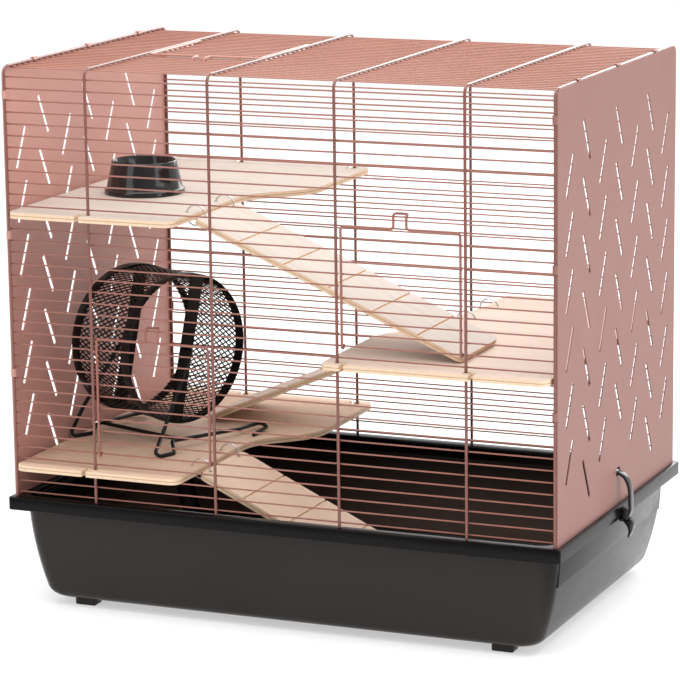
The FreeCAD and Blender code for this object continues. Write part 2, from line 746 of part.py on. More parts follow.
def hoop_slot(hoop_x, side):
    """An L-shaped slot: the mouth lies beside the hoop, so the shelf slides along to lock."""
    half = "sizes.slot_width / 2"
    mouth = f"({hoop_x} - sizes.slot_shift)"
    edge = f"{side} * ({SHELF_FRONT} + {PAST})"
    near = f"{side} * ({HOOP_Y} + {half})"
    far = f"{side} * ({HOOP_Y} - {half})"
    return ((f"{mouth} - {half}", edge), (f"{mouth} + {half}", edge), (f"{mouth} + {half}", near),
            (f"{hoop_x} + {half}", near), (f"{hoop_x} + {half}", far), (f"{mouth} - {half}", far))


def build_shelf(label, level, is_turned):
    """A board with a stepped inner edge, made for the left end and turned round for the right."""
    body = new_body(label)
    top = SHELF_TOP.format(level)
    wide = f"({SHELF_NARROW} + sizes.shelf_step)"
    step_near = "(sizes.shelf_step_middle - sizes.shelf_step_span / 2)"
    step_far = "(sizes.shelf_step_middle + sizes.shelf_step_span / 2)"
    front = f"-{SHELF_FRONT}"
    corners = ((SHELF_SIDE, front), (SHELF_NARROW, front), (SHELF_NARROW, step_near),
               (wide, step_far), (wide, SHELF_FRONT), (SHELF_SIDE, SHELF_FRONT))
    outline = new_sketch(body, "XY_Plane", f"{label}_outline")
    add_polygon(outline, corners)
    board = pad(body, outline, "sizes.shelf_thickness", f"{label}_board", reverse=True)
    places = [(value_of(x), value_of(y)) for x, y in corners]
    ends = places[:2] + places[4:]
    rounded = round_edges(body, board, ends, "sizes.shelf_corner", f"{label}_corners")
    round_edges(body, rounded, places[2:4], "sizes.shelf_step_round", f"{label}_step")
    cuts = new_sketch(body, "XY_Plane", f"{label}_cuts")
    for hoop, side in ((-2, "-1"), (-2, "1"), (-1, "1")):
        add_polygon(cuts, hoop_slot(hoop_place(hoop), side))
    for side in (-1, 1):
        y = f"(({side}) * sizes.ring_spacing / 2 - {RAMP_OFFSET})"
        add_small_hole(cuts, f"({SHELF_NARROW} - sizes.ring_inset)", y, "sizes.ring_hole")
    pocket(body, cuts, "sizes.shelf_thickness", f"{label}_slots")
    body.Placement = FreeCAD.Placement(vector(0, 0, value_of(top)), turned(AXIS_Z, 180 * is_turned))


# Ramps: each hangs on two rings, so it swings about the middle of the rings


def ramp_slope(level, landing):
    """Slope, in degrees, at which the foot of a ramp just reaches the surface below."""
    ring_z = value_of(f"{SHELF_TOP.format(level)} - sizes.shelf_thickness / 2")
    drop = ring_z - value_of(landing) - size("ramp_lift")
    reach = value_of(f"sizes.ring_radius + {RAMP_LENGTH} - sizes.ring_margin")
    half = size("ramp_thickness") / 2
    slope = math.asin(drop / math.hypot(reach, half)) - math.atan2(half, reach)
    return math.degrees(slope)


def ring_middle(level, is_turned):
    """The middle of a pair of rings: one ring radius from the holes in the shelf."""
    x = value_of(f"{SHELF_NARROW} - sizes.ring_inset + sizes.ring_radius")
    z = value_of(f"{SHELF_TOP.format(level)} - sizes.shelf_thickness / 2")
    side = -1 if is_turned else 1
    return vector(side * x, -side * value_of(RAMP_OFFSET), z)


def build_ramp(label, level, landing, is_turned):
    """A grooved board; its ring holes lie on the local Y axis and it runs along +X."""
    body = new_body(label)
    head, tail = "-sizes.ring_margin", f"({RAMP_LENGTH} - sizes.ring_margin)"
    half = "(sizes.ramp_width / 2)"
    outline = new_sketch(body, "XY_Plane", f"{label}_outline")
    corners = ((head, f"-{half}"), (tail, f"-{half}"), (tail, half), (head, half))
    add_polygon(outline, corners)
    board = pad(body, outline, "sizes.ramp_thickness", f"{label}_board", middle=True)
    places = [(value_of(x), value_of(y)) for x, y in corners]
    round_edges(body, board, places, "sizes.ramp_corner", f"{label}_corners")
    holes = new_sketch(body, "XY_Plane", f"{label}_holes")
    for side in (-1, 1):
        add_small_hole(holes, "0", f"({side}) * sizes.ring_spacing / 2", "sizes.ring_hole")
    pocket(body, holes, "2 * sizes.ramp_thickness", f"{label}_ring_holes", middle=True)
    grooves = new_sketch(body, "XY_Plane", f"{label}_grooves", "sizes.ramp_thickness / 2")
    for number in range(1, int(value_of(f"{RAMP_LENGTH} / sizes.groove_pitch"))):
        x = f"({number} * sizes.groove_pitch - sizes.ring_margin)"
        end = f"{x} + sizes.groove_width"
        add_rectangle(grooves, x, f"-{half} - {PAST}", end, f"{half} + {PAST}")
    pocket(body, grooves, "sizes.groove_depth", f"{label}_footholds")
    slope = ramp_slope(level, landing)
    facing = turned(AXIS_Z, 180 * is_turned)
    rotation = facing.multiply(turned(AXIS_Y, slope))
    hole = ring_middle(level, is_turned) + rotation.multVec(vector(size("ring_radius"), 0, 0))
    body.Placement = FreeCAD.Placement(hole, rotation)


def build_rings(label, level, is_turned):
    """Two open rings of spring wire, with their ends at the top."""
    radius, route = size("ring_radius"), []
    for run in range(RING_RUNS + 1):
        swept = (360 - size("ring_opening")) * run / RING_RUNS
        angle = math.radians(90 + size("ring_opening") / 2 + swept)
        route.append(vector(radius * math.cos(angle), 0, radius * math.sin(angle)))
    ring = wire_along(route, size("ring_wire"))
    pair = []
    for side in (-1, 1):
        copy = ring.copy()
        copy.translate(vector(0, side * size("ring_spacing") / 2, 0))
        pair.append(copy)
    place = FreeCAD.Placement(ring_middle(level, is_turned), FreeCAD.Rotation())
    keep_shape(label, Part.makeCompound(pair), place)


# Bowl


def bowl_loft(name, levels):
    """A round solid through levels, each a radius and a height above the shelf as expressions."""
    shelf = f"({SHELF_TOP.format('upper')} + sizes.rest_gap)"
    x = "sizes.bowl_from_end - sizes.tray_length / 2"
    sections = []
    for number, (radius, height) in enumerate(levels):
        level = doc.addObject("Part::RegularPolygon", f"{name}_level_{number}")
        level.Polygon = BOWL_SIDES
        bind(level, Circumradius=radius, Placement__Base__x=x)
        bind(level, Placement__Base__y="sizes.bowl_y", Placement__Base__z=f"{shelf} + {height}")
        sections.append(level)
    loft = doc.addObject("Part::Loft", name)
    loft.Sections = sections
    loft.Solid = True
    loft.Ruled = True
    loft.Linearize = True
    return loft


def build_bowl():
    """A moulded bowl: a skirt that narrows to the lip, a dish in its top and a hollow underneath."""
    foot, lip, wall = "sizes.bowl_foot / 2", "sizes.bowl_mouth / 2", "sizes.bowl_wall"
    inner_foot = f"{foot} - sizes.bowl_ledge_width"
    skirt = bowl_loft("bowl_skirt", (
        (foot, "0"),
        (foot, "sizes.bowl_ledge - sizes.bowl_ledge_bevel"),
        (inner_foot, "sizes.bowl_ledge"),
        (lip, "sizes.bowl_height"),
    ))
    side = f"{lip} - sizes.bowl_dish_lean"
    floor = f"sizes.bowl_dish + {wall}"
    hollow = bowl_loft("bowl_dish", (
        (f"{side} - sizes.bowl_dish_heel", floor),
        (side, f"{floor} + sizes.bowl_dish_heel / 2"),
        (f"{lip} - {wall}", f"sizes.bowl_height + {PAST}"),
    ))
    under = bowl_loft("bowl_underside", (
        (f"{foot} - {wall}", f"-{PAST}"),
        (f"{inner_foot} - {wall}", "sizes.bowl_dish"),
    ))
    without_dish = doc.addObject("Part::Cut", "bowl_without_dish")
    without_dish.Base = skirt
    without_dish.Tool = hollow
    bowl = doc.addObject("Part::Cut", "food_bowl")
    bowl.Base = without_dish
    bowl.Tool = under
    keep(bowl, "food_bowl")


# Wheel: made with its axis on the local X axis


def wheel_place():
    """The wheel's middle and its direction."""
    shelf = SHELF_TOP.format("lower")
    x = value_of("sizes.wheel_from_end - sizes.tray_length / 2")
    z = value_of(f"{shelf} + sizes.wheel_clearance + sizes.wheel_diameter / 2")
    middle = vector(x, size("wheel_y"), z)
    return FreeCAD.Placement(middle, turned(AXIS_Z, size("wheel_turn")))


MESH_OUTSIDE = "(sizes.wheel_diameter / 2 - sizes.wheel_band_sheet - sizes.weld_gap)"
MESH_INSIDE = f"({MESH_OUTSIDE} - sizes.wheel_mesh_sheet)"


def build_rim_band(label, side):
    """A flat band round one end of the wheel, with two sides to each field of the mesh inside it."""
    low = "-sizes.wheel_width / 2" if side < 0 else "(sizes.wheel_width / 2 - sizes.wheel_band)"
    start = FreeCAD.Placement(vector(value_of(low), 0, 0), turned(AXIS_Y, 90))
    walls = []
    for name, inset in (("outside", "0"), ("inside", "sizes.wheel_band_sheet")):
        wall = doc.addObject("Part::Prism", f"{label}_{name}")
        wall.Polygon = 2 * int(size("mesh_columns"))
        bind(wall, Circumradius=f"sizes.wheel_diameter / 2 - {inset}", Height="sizes.wheel_band")
        wall.Placement = wheel_place().multiply(start)
        walls.append(wall)
    band = doc.addObject("Part::Cut", label)
    band.Base, band.Tool = walls
    keep(band, label)


def build_wheel_mesh():
    """A drum of flat fields with diamond openings, one fewer and set between in every second field."""
    outside, inside, width = value_of(MESH_OUTSIDE), value_of(MESH_INSIDE), size("wheel_width")
    fields, rows = int(size("mesh_columns")), int(size("mesh_rows"))
    start = vector(-width / 2, 0, 0)
    walls = [regular_polygon(start, AXIS_X, radius, fields) for radius in (outside, inside)]
    drum = Part.makeFace(walls, "Part::FaceMakerBullseye").extrude(AXIS_X * width)
    pitch = (width - 2 * size("wheel_band")) / rows
    half_x = (pitch - size("mesh_strand")) / 2
    half_y = inside * math.sin(math.pi / fields) - size("mesh_strand") / 2
    corners = [vector(half_x, 0, -outside), vector(0, half_y, -outside),
               vector(-half_x, 0, -outside), vector(0, -half_y, -outside)]
    through = 3 * (outside - inside * math.cos(math.pi / fields))
    diamond = Part.Face(Part.makePolygon(corners + corners[:1])).extrude(AXIS_Z * through)
    openings = []
    for field in range(fields):
        count = rows - field % 2
        for row in range(count):
            opening = diamond.copy()
            opening.translate(vector((row - (count - 1) / 2) * pitch, 0, 0))
            opening.rotate(vector(0, 0, 0), AXIS_X, 360 / fields * (field + 0.5))
            openings.append(opening)
    keep_shape("wheel_mesh", drum.cut(Part.makeCompound(openings)), wheel_place())


def build_crossbar(label, side):
    """A flat bar across one end of the wheel, with the pivot hole in its middle."""
    body = new_body(label)
    half_width = "(sizes.crossbar_width / 2)"
    fields = f"({MESH_INSIDE} * cos(180 / sizes.mesh_columns))"
    half_length = f"sqrt(({fields} - sizes.weld_gap) ^ 2 - {half_width} ^ 2)"
    outline = new_sketch(body, "YZ_Plane", f"{label}_outline", f"{side} * sizes.wheel_width / 2")
    add_rectangle(outline, f"-{half_width}", f"-{half_length}", half_width, half_length)
    add_circle(outline, "0", "0", "sizes.stand_wire + 2 * sizes.pivot_play")
    pad(body, outline, "sizes.crossbar_sheet", f"{label}_bar", reverse=side > 0)
    tilted = FreeCAD.Placement(vector(0, 0, 0), turned(AXIS_X, -size("crossbar_tilt")))
    body.Placement = wheel_place().multiply(tilted)


def stand_route(side, knee, foot_front, foot_inner, rise, back, heel, toe, tip):
    """One upright: its pivot, the leg, the bent front foot, the base run and the back foot."""
    drop = -(size("wheel_diameter") / 2 + size("wheel_clearance"))
    ground = drop + size("stand_wire") / 2 + size("rest_gap")
    pivot_end = size("wheel_width") / 2 - size("pivot_grip")
    upright = size("wheel_width") / 2 + size("stand_gap")
    points = [vector(side * pivot_end, 0, 0), vector(side * upright, 0, 0)]
    for u, v, w in (knee, foot_front, foot_inner, rise, back, heel, toe, tip):
        points.append(vector(u, v, ground + w))
    return points


# Stops of the two wires: along the wheel's axis, across it and above the shelf
NEAR_STAND = {
    "knee": (70, -56, 14), "foot_front": (92, -86, 0), "foot_inner": (90, -57, 0), "rise": (75, -47, 8),
    "back": (75, 42, 5), "heel": (68, 78, 5), "toe": (82, 74, 3), "tip": (89, 49, 0),
}
FAR_STAND = {
    "knee": (-52, -58, 26), "foot_front": (-41, -87, 0), "foot_inner": (-36, -60, 0), "rise": (-44, -48, 6),
    "back": (-56, 18, 5), "heel": (-50, 32, 4), "toe": (-63, 29, 2), "tip": (-70, 10, 0),
}


def build_stand():
    bends = [size("stand_bend")] * 8
    wire = size("stand_wire")
    routes = {}
    for end, side, stops in (("near", 1, NEAR_STAND), ("far", -1, FAR_STAND)):
        label = f"wheel_stand_{end}"
        routes[side] = stand_route(side, **stops)
        keep_shape(label, bent_wire(routes[side], bends, wire), wheel_place())
    ends = []
    for side in (1, -1):
        rise, back = routes[side][5], routes[side][6]
        ends.append(rise + (back - rise) * size("tie_place"))
    along = (ends[1] - ends[0]).normalize()
    butt = wire / 2 + size("tie_gap")
    start, finish = ends[0] + along * butt, ends[1] - along * butt
    keep_shape("wheel_stand_tie", wire_along([start, finish], wire), wheel_place())


# Clips


def clip_strip(points, bends):
    """A moulded strip of the clip's section along a route in the plane Y = 0."""
    width, sheet_half = size("clip_width"), size("clip_sheet") / 2
    along = (points[1] - points[0]).normalize()
    across = along.cross(AXIS_Y) * sheet_half
    side = vector(0, width / 2, 0)
    corners = [points[0] + across + side, points[0] - across + side,
               points[0] - across - side, points[0] + across - side]
    section = Part.makePolygon(corners + corners[:1])
    if not bends:
        return Part.Face(section).extrude(points[1] - points[0])
    return sweep(smooth_route(points, bends, BEND_RUNS), section)


def build_clip(label, side):
    """A bowed clip: nose in the panel, arm round the rim, hook under the band and a finger tail."""
    rim_x, rim_z = size("tray_length") / 2, size("rim_height")
    nose_x = value_of(HOOP_END_X) + size("hoop_wire") / 2 + size("weld_gap")
    half = size("clip_sheet") / 2
    bow_x = rim_x + size("clip_bow") - half
    nose_z = rim_z + size("clip_rise")
    hook_z = rim_z - size("rim_band") - size("clip_hook_gap") - half
    tail_x, tail_z = rim_x + size("clip_bow") / 2, rim_z - size("clip_drop")
    waist = vector(rim_x + half, 0, hook_z - half)
    shoulder_x = bow_x - size("clip_shoulder")
    arm = [vector(nose_x - size("clip_nose"), 0, nose_z), vector(shoulder_x, 0, nose_z),
           vector(bow_x, 0, rim_z + size("clip_rise") / 2), vector(bow_x, 0, rim_z - size("rim_band") / 2),
           waist, vector(tail_x, 0, tail_z)]
    hook_x = bow_x - size("clip_shoulder") / 2
    hook = [vector(hook_x, 0, hook_z), vector(rim_x - size("tray_wall"), 0, hook_z)]
    bend = size("clip_bend")
    bends = [bend, 2 * bend, bend, size("clip_tail_bend")]
    clip = clip_strip(arm, bends).fuse(clip_strip(hook, []))
    facing = turned(AXIS_Z, 0 if side > 0 else 180)
    keep_shape(label, clip.removeSplitter(), FreeCAD.Placement(vector(0, 0, 0), facing))


# Build and export


def build_all():
    build_tray()
    build_hoops()
    build_walls()
    build_roof()
    build_doors()
    build_panel("left_side_panel", -1)
    build_panel("right_side_panel", 1)
    tray_floor = "(sizes.foot_height + sizes.tray_wall)"
    stairs = (
        ("upper", "left", SHELF_TOP.format("middle"), 0),
        ("middle", "right", SHELF_TOP.format("lower"), 1),
        ("lower", "left", tray_floor, 0),
    )
    for level, end, landing, is_turned in stairs:
        build_shelf(f"shelf_{level}_{end}", level, is_turned)
        build_ramp(f"ramp_{level}", level, landing, is_turned)
        build_rings(f"ramp_rings_{level}", level, is_turned)
    build_bowl()
    build_wheel_mesh()
    for end, side in (("near", 1), ("far", -1)):
        build_rim_band(f"wheel_rim_{end}", side)
        build_crossbar(f"wheel_crossbar_{end}", side)
    build_stand()
    build_clip("left_clip", -1)
    build_clip("right_clip", 1)


def check_all():
    doc.recompute()
    for thing in doc.Objects:
        bad = [state for state in thing.State if state in ("Invalid", "Error")]
        if bad:
            raise RuntimeError(f"{thing.Label}: {bad}")
    for node in nodes:
        if node.Shape.isNull() or not node.Shape.isValid():
            raise RuntimeError(f"{node.Label} has no valid shape")


def export_all():
    os.makedirs("parts", exist_ok=True)
    for node in nodes:
        node.Shape.exportStep(f"parts/{node.Label}.step")
        print(f"{node.Label}: {len(node.Shape.Solids)} solids, {node.Shape.Volume:.0f} cubic mm")


build_all()
check_all()
export_all()
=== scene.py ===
# %% [markdown]
# # Dressing a rodent cage
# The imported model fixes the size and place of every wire, board and sheet, in metres.
# This lesson puts finishes on the pieces whose shape is already right, and models anew the
# ones that need rounder wire, finer mesh or softer plastic than the solids have.

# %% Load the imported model
import math

import bmesh
import bpy
from mathutils import Matrix, Vector


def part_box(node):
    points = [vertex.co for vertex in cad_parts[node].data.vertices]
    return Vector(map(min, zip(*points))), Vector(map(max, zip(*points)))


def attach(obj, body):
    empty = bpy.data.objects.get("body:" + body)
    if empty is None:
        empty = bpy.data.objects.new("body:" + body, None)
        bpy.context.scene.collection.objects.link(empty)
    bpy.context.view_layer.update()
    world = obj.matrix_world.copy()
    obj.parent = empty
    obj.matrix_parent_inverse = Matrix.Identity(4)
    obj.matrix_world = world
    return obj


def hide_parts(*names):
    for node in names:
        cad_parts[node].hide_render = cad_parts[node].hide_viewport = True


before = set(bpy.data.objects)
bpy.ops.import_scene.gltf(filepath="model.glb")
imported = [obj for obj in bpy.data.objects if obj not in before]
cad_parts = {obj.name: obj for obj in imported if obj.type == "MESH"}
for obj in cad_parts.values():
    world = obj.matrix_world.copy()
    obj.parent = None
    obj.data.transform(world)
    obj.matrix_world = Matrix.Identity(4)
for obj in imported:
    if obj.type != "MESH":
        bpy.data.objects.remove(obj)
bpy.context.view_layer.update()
MM = 0.001


def mm(*place):
    """A place or a step given in millimetres."""
    return Vector(place) * MM


# %% [markdown]
# ## Camera
# The photograph was taken from far away with a long lens: the cage's upright wires stay
# almost parallel. A camera can be placed by eye, or worked out from a few corners whose
# real places are known. The second way was used, and it gave the angles below. The tiny
# roll is the tilt of the photographer's camera.

# %% Camera
PHOTO_PIXELS = 680
FOCAL_PIXELS = 3300
SENSOR_WIDTH = 36.0
AIM = mm(-8.0, 0.0, 255.3)
DISTANCE = 3306 * MM
AZIMUTH = math.radians(23.22)
ELEVATION = math.radians(11.87)
ROLL = math.radians(-0.74)

back = Vector((math.sin(AZIMUTH) * math.cos(ELEVATION),
               -math.cos(AZIMUTH) * math.cos(ELEVATION),
               math.sin(ELEVATION)))
level = (-back).cross(Vector((0, 0, 1))).normalized()
upward = level.cross(-back)
across = level * math.cos(ROLL) + upward * math.sin(ROLL)
upward = upward * math.cos(ROLL) - level * math.sin(ROLL)

bpy.ops.object.camera_add()
camera = bpy.context.object
camera.name = "photo_camera"
camera.matrix_world = (Matrix.Translation(AIM + back * DISTANCE)
                       @ Matrix((across, upward, back)).transposed().to_4x4())
camera.data.sensor_width = SENSOR_WIDTH
camera.data.lens = SENSOR_WIDTH * FOCAL_PIXELS / PHOTO_PIXELS
bpy.context.scene.camera = camera
print("camera lens", round(camera.data.lens, 1), "mm")

# %% [markdown]
# ## Floor and light
# The cage stands on white with almost no shadow, as in a light tent. A tent can be built
# from many lamps, but a white world does most of its work: it lights every side and gives
# the black plastic something pale to mirror. It is dimmer on the camera's side, where a
# tent is open. Four soft boxes then add direction: a large one above for the bright lines
# on the wires, one in front, one at the right and one behind.

# %% Floor and light
FLOOR_SIZE = 40.0
TENT_FADE = {"From Min": -0.9, "From Max": 0.1, "To Min": 0.42, "To Max": 1.03}


def soft_box(name, place, aim_height, side, power):
    """A square lamp that faces the cage's middle at a height."""
    bpy.ops.object.light_add(type="AREA", location=place)
    lamp = bpy.context.object
    lamp.name = name
    aim = Vector((0, 0, aim_height)) - Vector(place)
    lamp.rotation_euler = aim.to_track_quat("-Z", "Y").to_euler()
    lamp.data.size = side
    lamp.data.energy = power


world = bpy.data.worlds.new("light_tent")
world.use_nodes = True
tent = world.node_tree
direction = tent.nodes.new("ShaderNodeTexCoord")
axes = tent.nodes.new("ShaderNodeSeparateXYZ")
fade = tent.nodes.new("ShaderNodeMapRange")
for socket_name, limit in TENT_FADE.items():
    fade.inputs[socket_name].default_value = limit
tent.links.new(direction.outputs["Generated"], axes.inputs[0])
tent.links.new(axes.outputs["Y"], fade.inputs["Value"])
tent.links.new(fade.outputs[0], tent.nodes["Background"].inputs["Color"])
bpy.context.scene.world = world
bpy.context.scene.view_settings.view_transform = "Standard"

soft_box("top_light", (0.2, -0.2, 2.2), aim_height=0.3, side=2.8, power=56.0)
soft_box("front_light", (-1.4, -2.4, 1.5), aim_height=0.3, side=1.5, power=12.0)
soft_box("right_light", (2.2, -0.6, 0.9), aim_height=0.3, side=1.2, power=10.0)
soft_box("back_light", (0.2, 2.8, 1.55), aim_height=0.45, side=2.0, power=45.0)

bpy.ops.mesh.primitive_plane_add(size=FLOOR_SIZE)
floor = bpy.context.object
floor.name = "floor"

# %% [markdown]
# ## A small language for finishes
# A finish is a net of shader nodes. Nodes can be wired one call at a time, but long nets
# become hard to read. Here one class wraps an output socket, so that sums and products of
# sockets can be written as plain expressions, and one method adds every other node.

# %% Node helpers


class Value:
    """An output of a shader node. Arithmetic on it adds Math nodes."""

    def __init__(self, finish, socket):
        self.finish = finish
        self.socket = socket

    def math(self, operation, first, second=0.0):
        return self.finish.add("ShaderNodeMath", {"operation": operation}, {0: first, 1: second})

    def __add__(self, other):
        return self.math("ADD", self, other)

    def __radd__(self, other):
        return self.math("ADD", other, self)

    def __sub__(self, other):
        return self.math("SUBTRACT", self, other)

    def __rsub__(self, other):
        return self.math("SUBTRACT", other, self)

    def __mul__(self, other):
        return self.math("MULTIPLY", self, other)

    def __rmul__(self, other):
        return self.math("MULTIPLY", other, self)

    def __truediv__(self, other):
        return self.math("DIVIDE", self, other)

    def __pow__(self, other):
        return self.math("POWER", self, other)

    def __abs__(self):
        return self.math("ABSOLUTE", self)

    def above(self, limit):
        return self.math("GREATER_THAN", self, limit)


class Finish:
    """A material that is built up node by node."""

    def __init__(self, name):
        self.material = bpy.data.materials.new(name)
        self.material.use_nodes = True
        self.tree = self.material.node_tree
        self.shader = self.tree.nodes["Principled BSDF"]

    def add(self, kind, settings=None, sockets=None, output=0):
        """Add a node: its settings first, then the values or links of its sockets."""
        node = self.tree.nodes.new(kind)
        for key, setting in (settings or {}).items():
            setattr(node, key, setting)
        for key, source in (sockets or {}).items():
            self.feed(node.inputs[key], source)
        return Value(self, node.outputs[output])

    def feed(self, socket, source):
        if isinstance(source, Value):
            self.tree.links.new(source.socket, socket)
        else:
            socket.default_value = source

    def place(self):
        return self.add("ShaderNodeTexCoord", output="Object")

    def along(self, place, axis):
        """One coordinate of a place."""
        return self.add("ShaderNodeSeparateXYZ", {}, {"Vector": place}, axis)

    def turned_place(self, matrix):
        """Coordinates seen from a piece's own middle and axes."""
        turn = matrix.to_3x3().inverted()
        sockets = {"Vector": self.place(), "Rotation": turn.to_euler(),
                   "Location": turn @ -matrix.translation}
        return self.add("ShaderNodeMapping", {"vector_type": "POINT"}, sockets)

    def stretched(self, place, x, y, z):
        return self.add("ShaderNodeMapping", {}, {"Vector": place, "Scale": (x, y, z)})

    def noise(self, place, scale, detail):
        return self.add("ShaderNodeTexNoise", {}, {"Vector": place, "Scale": scale, "Detail": detail})

    def fade(self, value, start, end, first, last):
        """Run from first to last while a value runs from start to end."""
        return self.add("ShaderNodeMapRange", {}, {0: value, 1: start, 2: end, 3: first, 4: last})

    def mix(self, share, first, second):
        return self.add("ShaderNodeMix", {"data_type": "RGBA"}, {0: share, 6: first, 7: second}, 2)

    def bump(self, height, distance, strength):
        sockets = {"Height": height, "Distance": distance, "Strength": strength}
        return self.add("ShaderNodeBump", {}, sockets)

    def surface(self, **sockets):
        """Set the shader's sockets; words in a name are joined by underscores."""
        for key, source in sockets.items():
            self.feed(self.shader.inputs[key.replace("_", " ").title().replace("Ior", "IOR")], source)
        return self


def colour(red, green, blue):
    """A screen colour, 0 to 255, as the linear light that shaders work in."""
    linear = []
    for part in (red, green, blue):
        share = part / 255
        linear.append(share / 12.92 if share <= 0.04045 else ((share + 0.055) / 1.055) ** 2.4)
    return (*linear, 1.0)


# %% [markdown]
# ## Floor finish
# The floor only has to be white and quiet. A perfectly flat colour shows every seam in the
# light, so a faint cloud of paper grain is mixed in. It also glows a little, so that it
# stays white around the cage, where a lamp alone would leave it grey.

# %% Floor finish
paper = Finish("white_paper")
paper_grain = paper.noise(paper.place(), scale=6.0, detail=3.0)
paper.surface(
    base_color=paper.mix(paper_grain, colour(200, 200, 200), colour(194, 194, 194)),
    roughness=0.9, specular_ior_level=0.1,
    emission_color=colour(255, 255, 255), emission_strength=0.5)
floor.data.materials.append(paper.material)
print("floor finish ready")

# %% [markdown]
# ## Coated metal
# The wires and end panels have a baked coat in dusty copper pink. Real coats are not flat:
# the colour wanders a little and the surface has a fine orange-peel. Two noises do this,
# a wide one for the colour and a tight one for the bump and the gloss. One recipe serves
# them all. The real coat is one colour, but its copies here carry painted light and shade:
# the back bars and the roof are painted lighter, the hoops darker, the left panel lighter
# against the shade inside the cage and the right panel darker. In black it serves the
# wheel and its stand.

# %% Coated metal
PANEL_COAT = {"gloss": 0.42, "peel_scale": 700.0, "coat": 0.04, "shine": 0.25}


def coated(name, dark, light, gloss, coat, shine, peel_scale=1200.0):
    """A baked coat: two tones of colour, uneven gloss and a fine peel."""
    finish = Finish(name)
    place = finish.place()
    cloud = finish.noise(place, scale=22.0, detail=3.0)
    peel = finish.noise(place, scale=peel_scale, detail=2.0)
    finish.surface(
        base_color=finish.mix(0.7 * cloud + 0.3 * peel, colour(*dark), colour(*light)),
        roughness=gloss + 0.12 * peel,
        normal=finish.bump(peel, distance=0.08 * MM, strength=0.5),
        coat_weight=coat, coat_roughness=0.15, specular_ior_level=shine)
    return finish


wire_coat = coated("copper_wire_coat", (136, 83, 70), (158, 102, 88), gloss=0.24, coat=0.25, shine=0.4)
# Painted light: the back bars' copy of the coat is paler than the front's.
back_painted_light_coat = coated("copper_back_painted_light_coat", (164, 112, 99), (186, 132, 119), gloss=0.3, coat=0.2, shine=0.4)
# Painted shade: the hoops' copy of the coat is darker than the bars'.
hoop_painted_shade_coat = coated("copper_hoop_painted_shade_coat", (110, 61, 50), (132, 78, 65), gloss=0.2, coat=0.7, shine=0.35)
# Painted light: the roof's copy of the coat is paler, as if lit from above.
roof_painted_light_coat = coated("copper_roof_painted_light_coat", (166, 111, 94), (186, 129, 112), gloss=0.24, coat=0.4, shine=0.5)
# Painted shade and light: the same panel sheet, painted darker on the right and lighter on the left, against
# the shade inside the cage.
right_panel_painted_shade_coat = coated("right_panel_painted_shade_coat", (136, 94, 86), (147, 105, 97), **PANEL_COAT)
left_panel_painted_light_coat = coated("left_panel_painted_light_coat", (186, 136, 126), (198, 149, 139), **PANEL_COAT)
black_coat = coated("black_wheel_coat", (11, 10, 10), (18, 17, 17), gloss=0.28, coat=0.05, shine=0.25)
print("coats ready")

# %% [markdown]
# ## Moulded plastic
# The tray, the bowl and the clips are black mouldings. The tray is glossy, with a faint
# waviness where the plastic shrank in its mould, and the bowl is glossier still. Waviness
# is a bump from a very wide noise, and scuffs are a gentle change of roughness. The scuffs
# are handed back with the finish, because the bowl and the clips are paler there too.

# %% Moulded plastic


def moulded(name, gloss, wave, shine=0.5):
    """Plastic with a wavy gloss and light scuffs: the finish and its scuffs."""
    finish = Finish(name)
    place = finish.place()
    ripple = finish.noise(place, scale=14.0, detail=1.0)
    scuff = finish.noise(finish.stretched(place, 1.0, 1.0, 4.0), scale=60.0, detail=4.0)
    finish.surface(
        roughness=gloss + 0.16 * scuff ** 2.0,
        normal=finish.bump(ripple + 0.02 * scuff, distance=wave, strength=0.6),
        specular_ior_level=shine)
    return finish, scuff


def black_plastic(name, dark, light, gloss, wave):
    """A black moulding with paler scuffs."""
    finish, scuff = moulded(name, gloss, wave)
    return finish.surface(base_color=finish.mix(scuff, colour(*dark), colour(*light)))


bowl_plastic = black_plastic("bowl_plastic", (16, 16, 17), (34, 33, 33), gloss=0.08, wave=0.2 * MM)
clip_plastic = black_plastic("clip_plastic", (22, 21, 21), (34, 32, 32), gloss=0.2, wave=0.3 * MM)
print("bowl and clip plastics ready")

# %% [markdown]
# ## Tray plastic
# The tray is black plastic. Its lower outer wall gets a painted grey reflection of the white
# floor, fainter at the ends, and its inside and floor a paler painted reflection. These could
# be three materials on three groups of faces. One finish that knows the tub's form
# is softer at the borders: it compares a point with the middle of the wall at that height,
# and what lies further in is inside. The tub is modelled from the same sizes later on.

# %% Tray plastic
TRAY_WALL = 2.5
TUB_TOP, TUB_FLOOR = 110.5, 8.0
TUB_HALF_X, TUB_HALF_Y = 280.0, 174.0
TUB_CURVE, TUB_LEAN = 20.0, 7.0
PAINTED_REFLECTION_TOP = 99.0
END_FADE = (262.0, 279.0)
MID_WALL = 1.2
CORNER_SUM = 434.5
ABOVE_HEEL = 18.2
FLOOR_LOW, FLOOR_HIGH = 10.2, 11.2
FLOOR_HALF_X, FLOOR_HALF_Y = 250.0, 155.0
INSIDE_PAINTED_REFLECTION_FADE = (90.0, 30.0)
# Painted reflection: the wall grey and the pale inside tone stand for the white floor mirrored in the black
# plastic.
RIM_BLACK = colour(9, 8, 8)
WALL_PAINTED_REFLECTION = colour(46, 42, 40)
INSIDE_PAINTED_REFLECTION = colour(112, 98, 91)


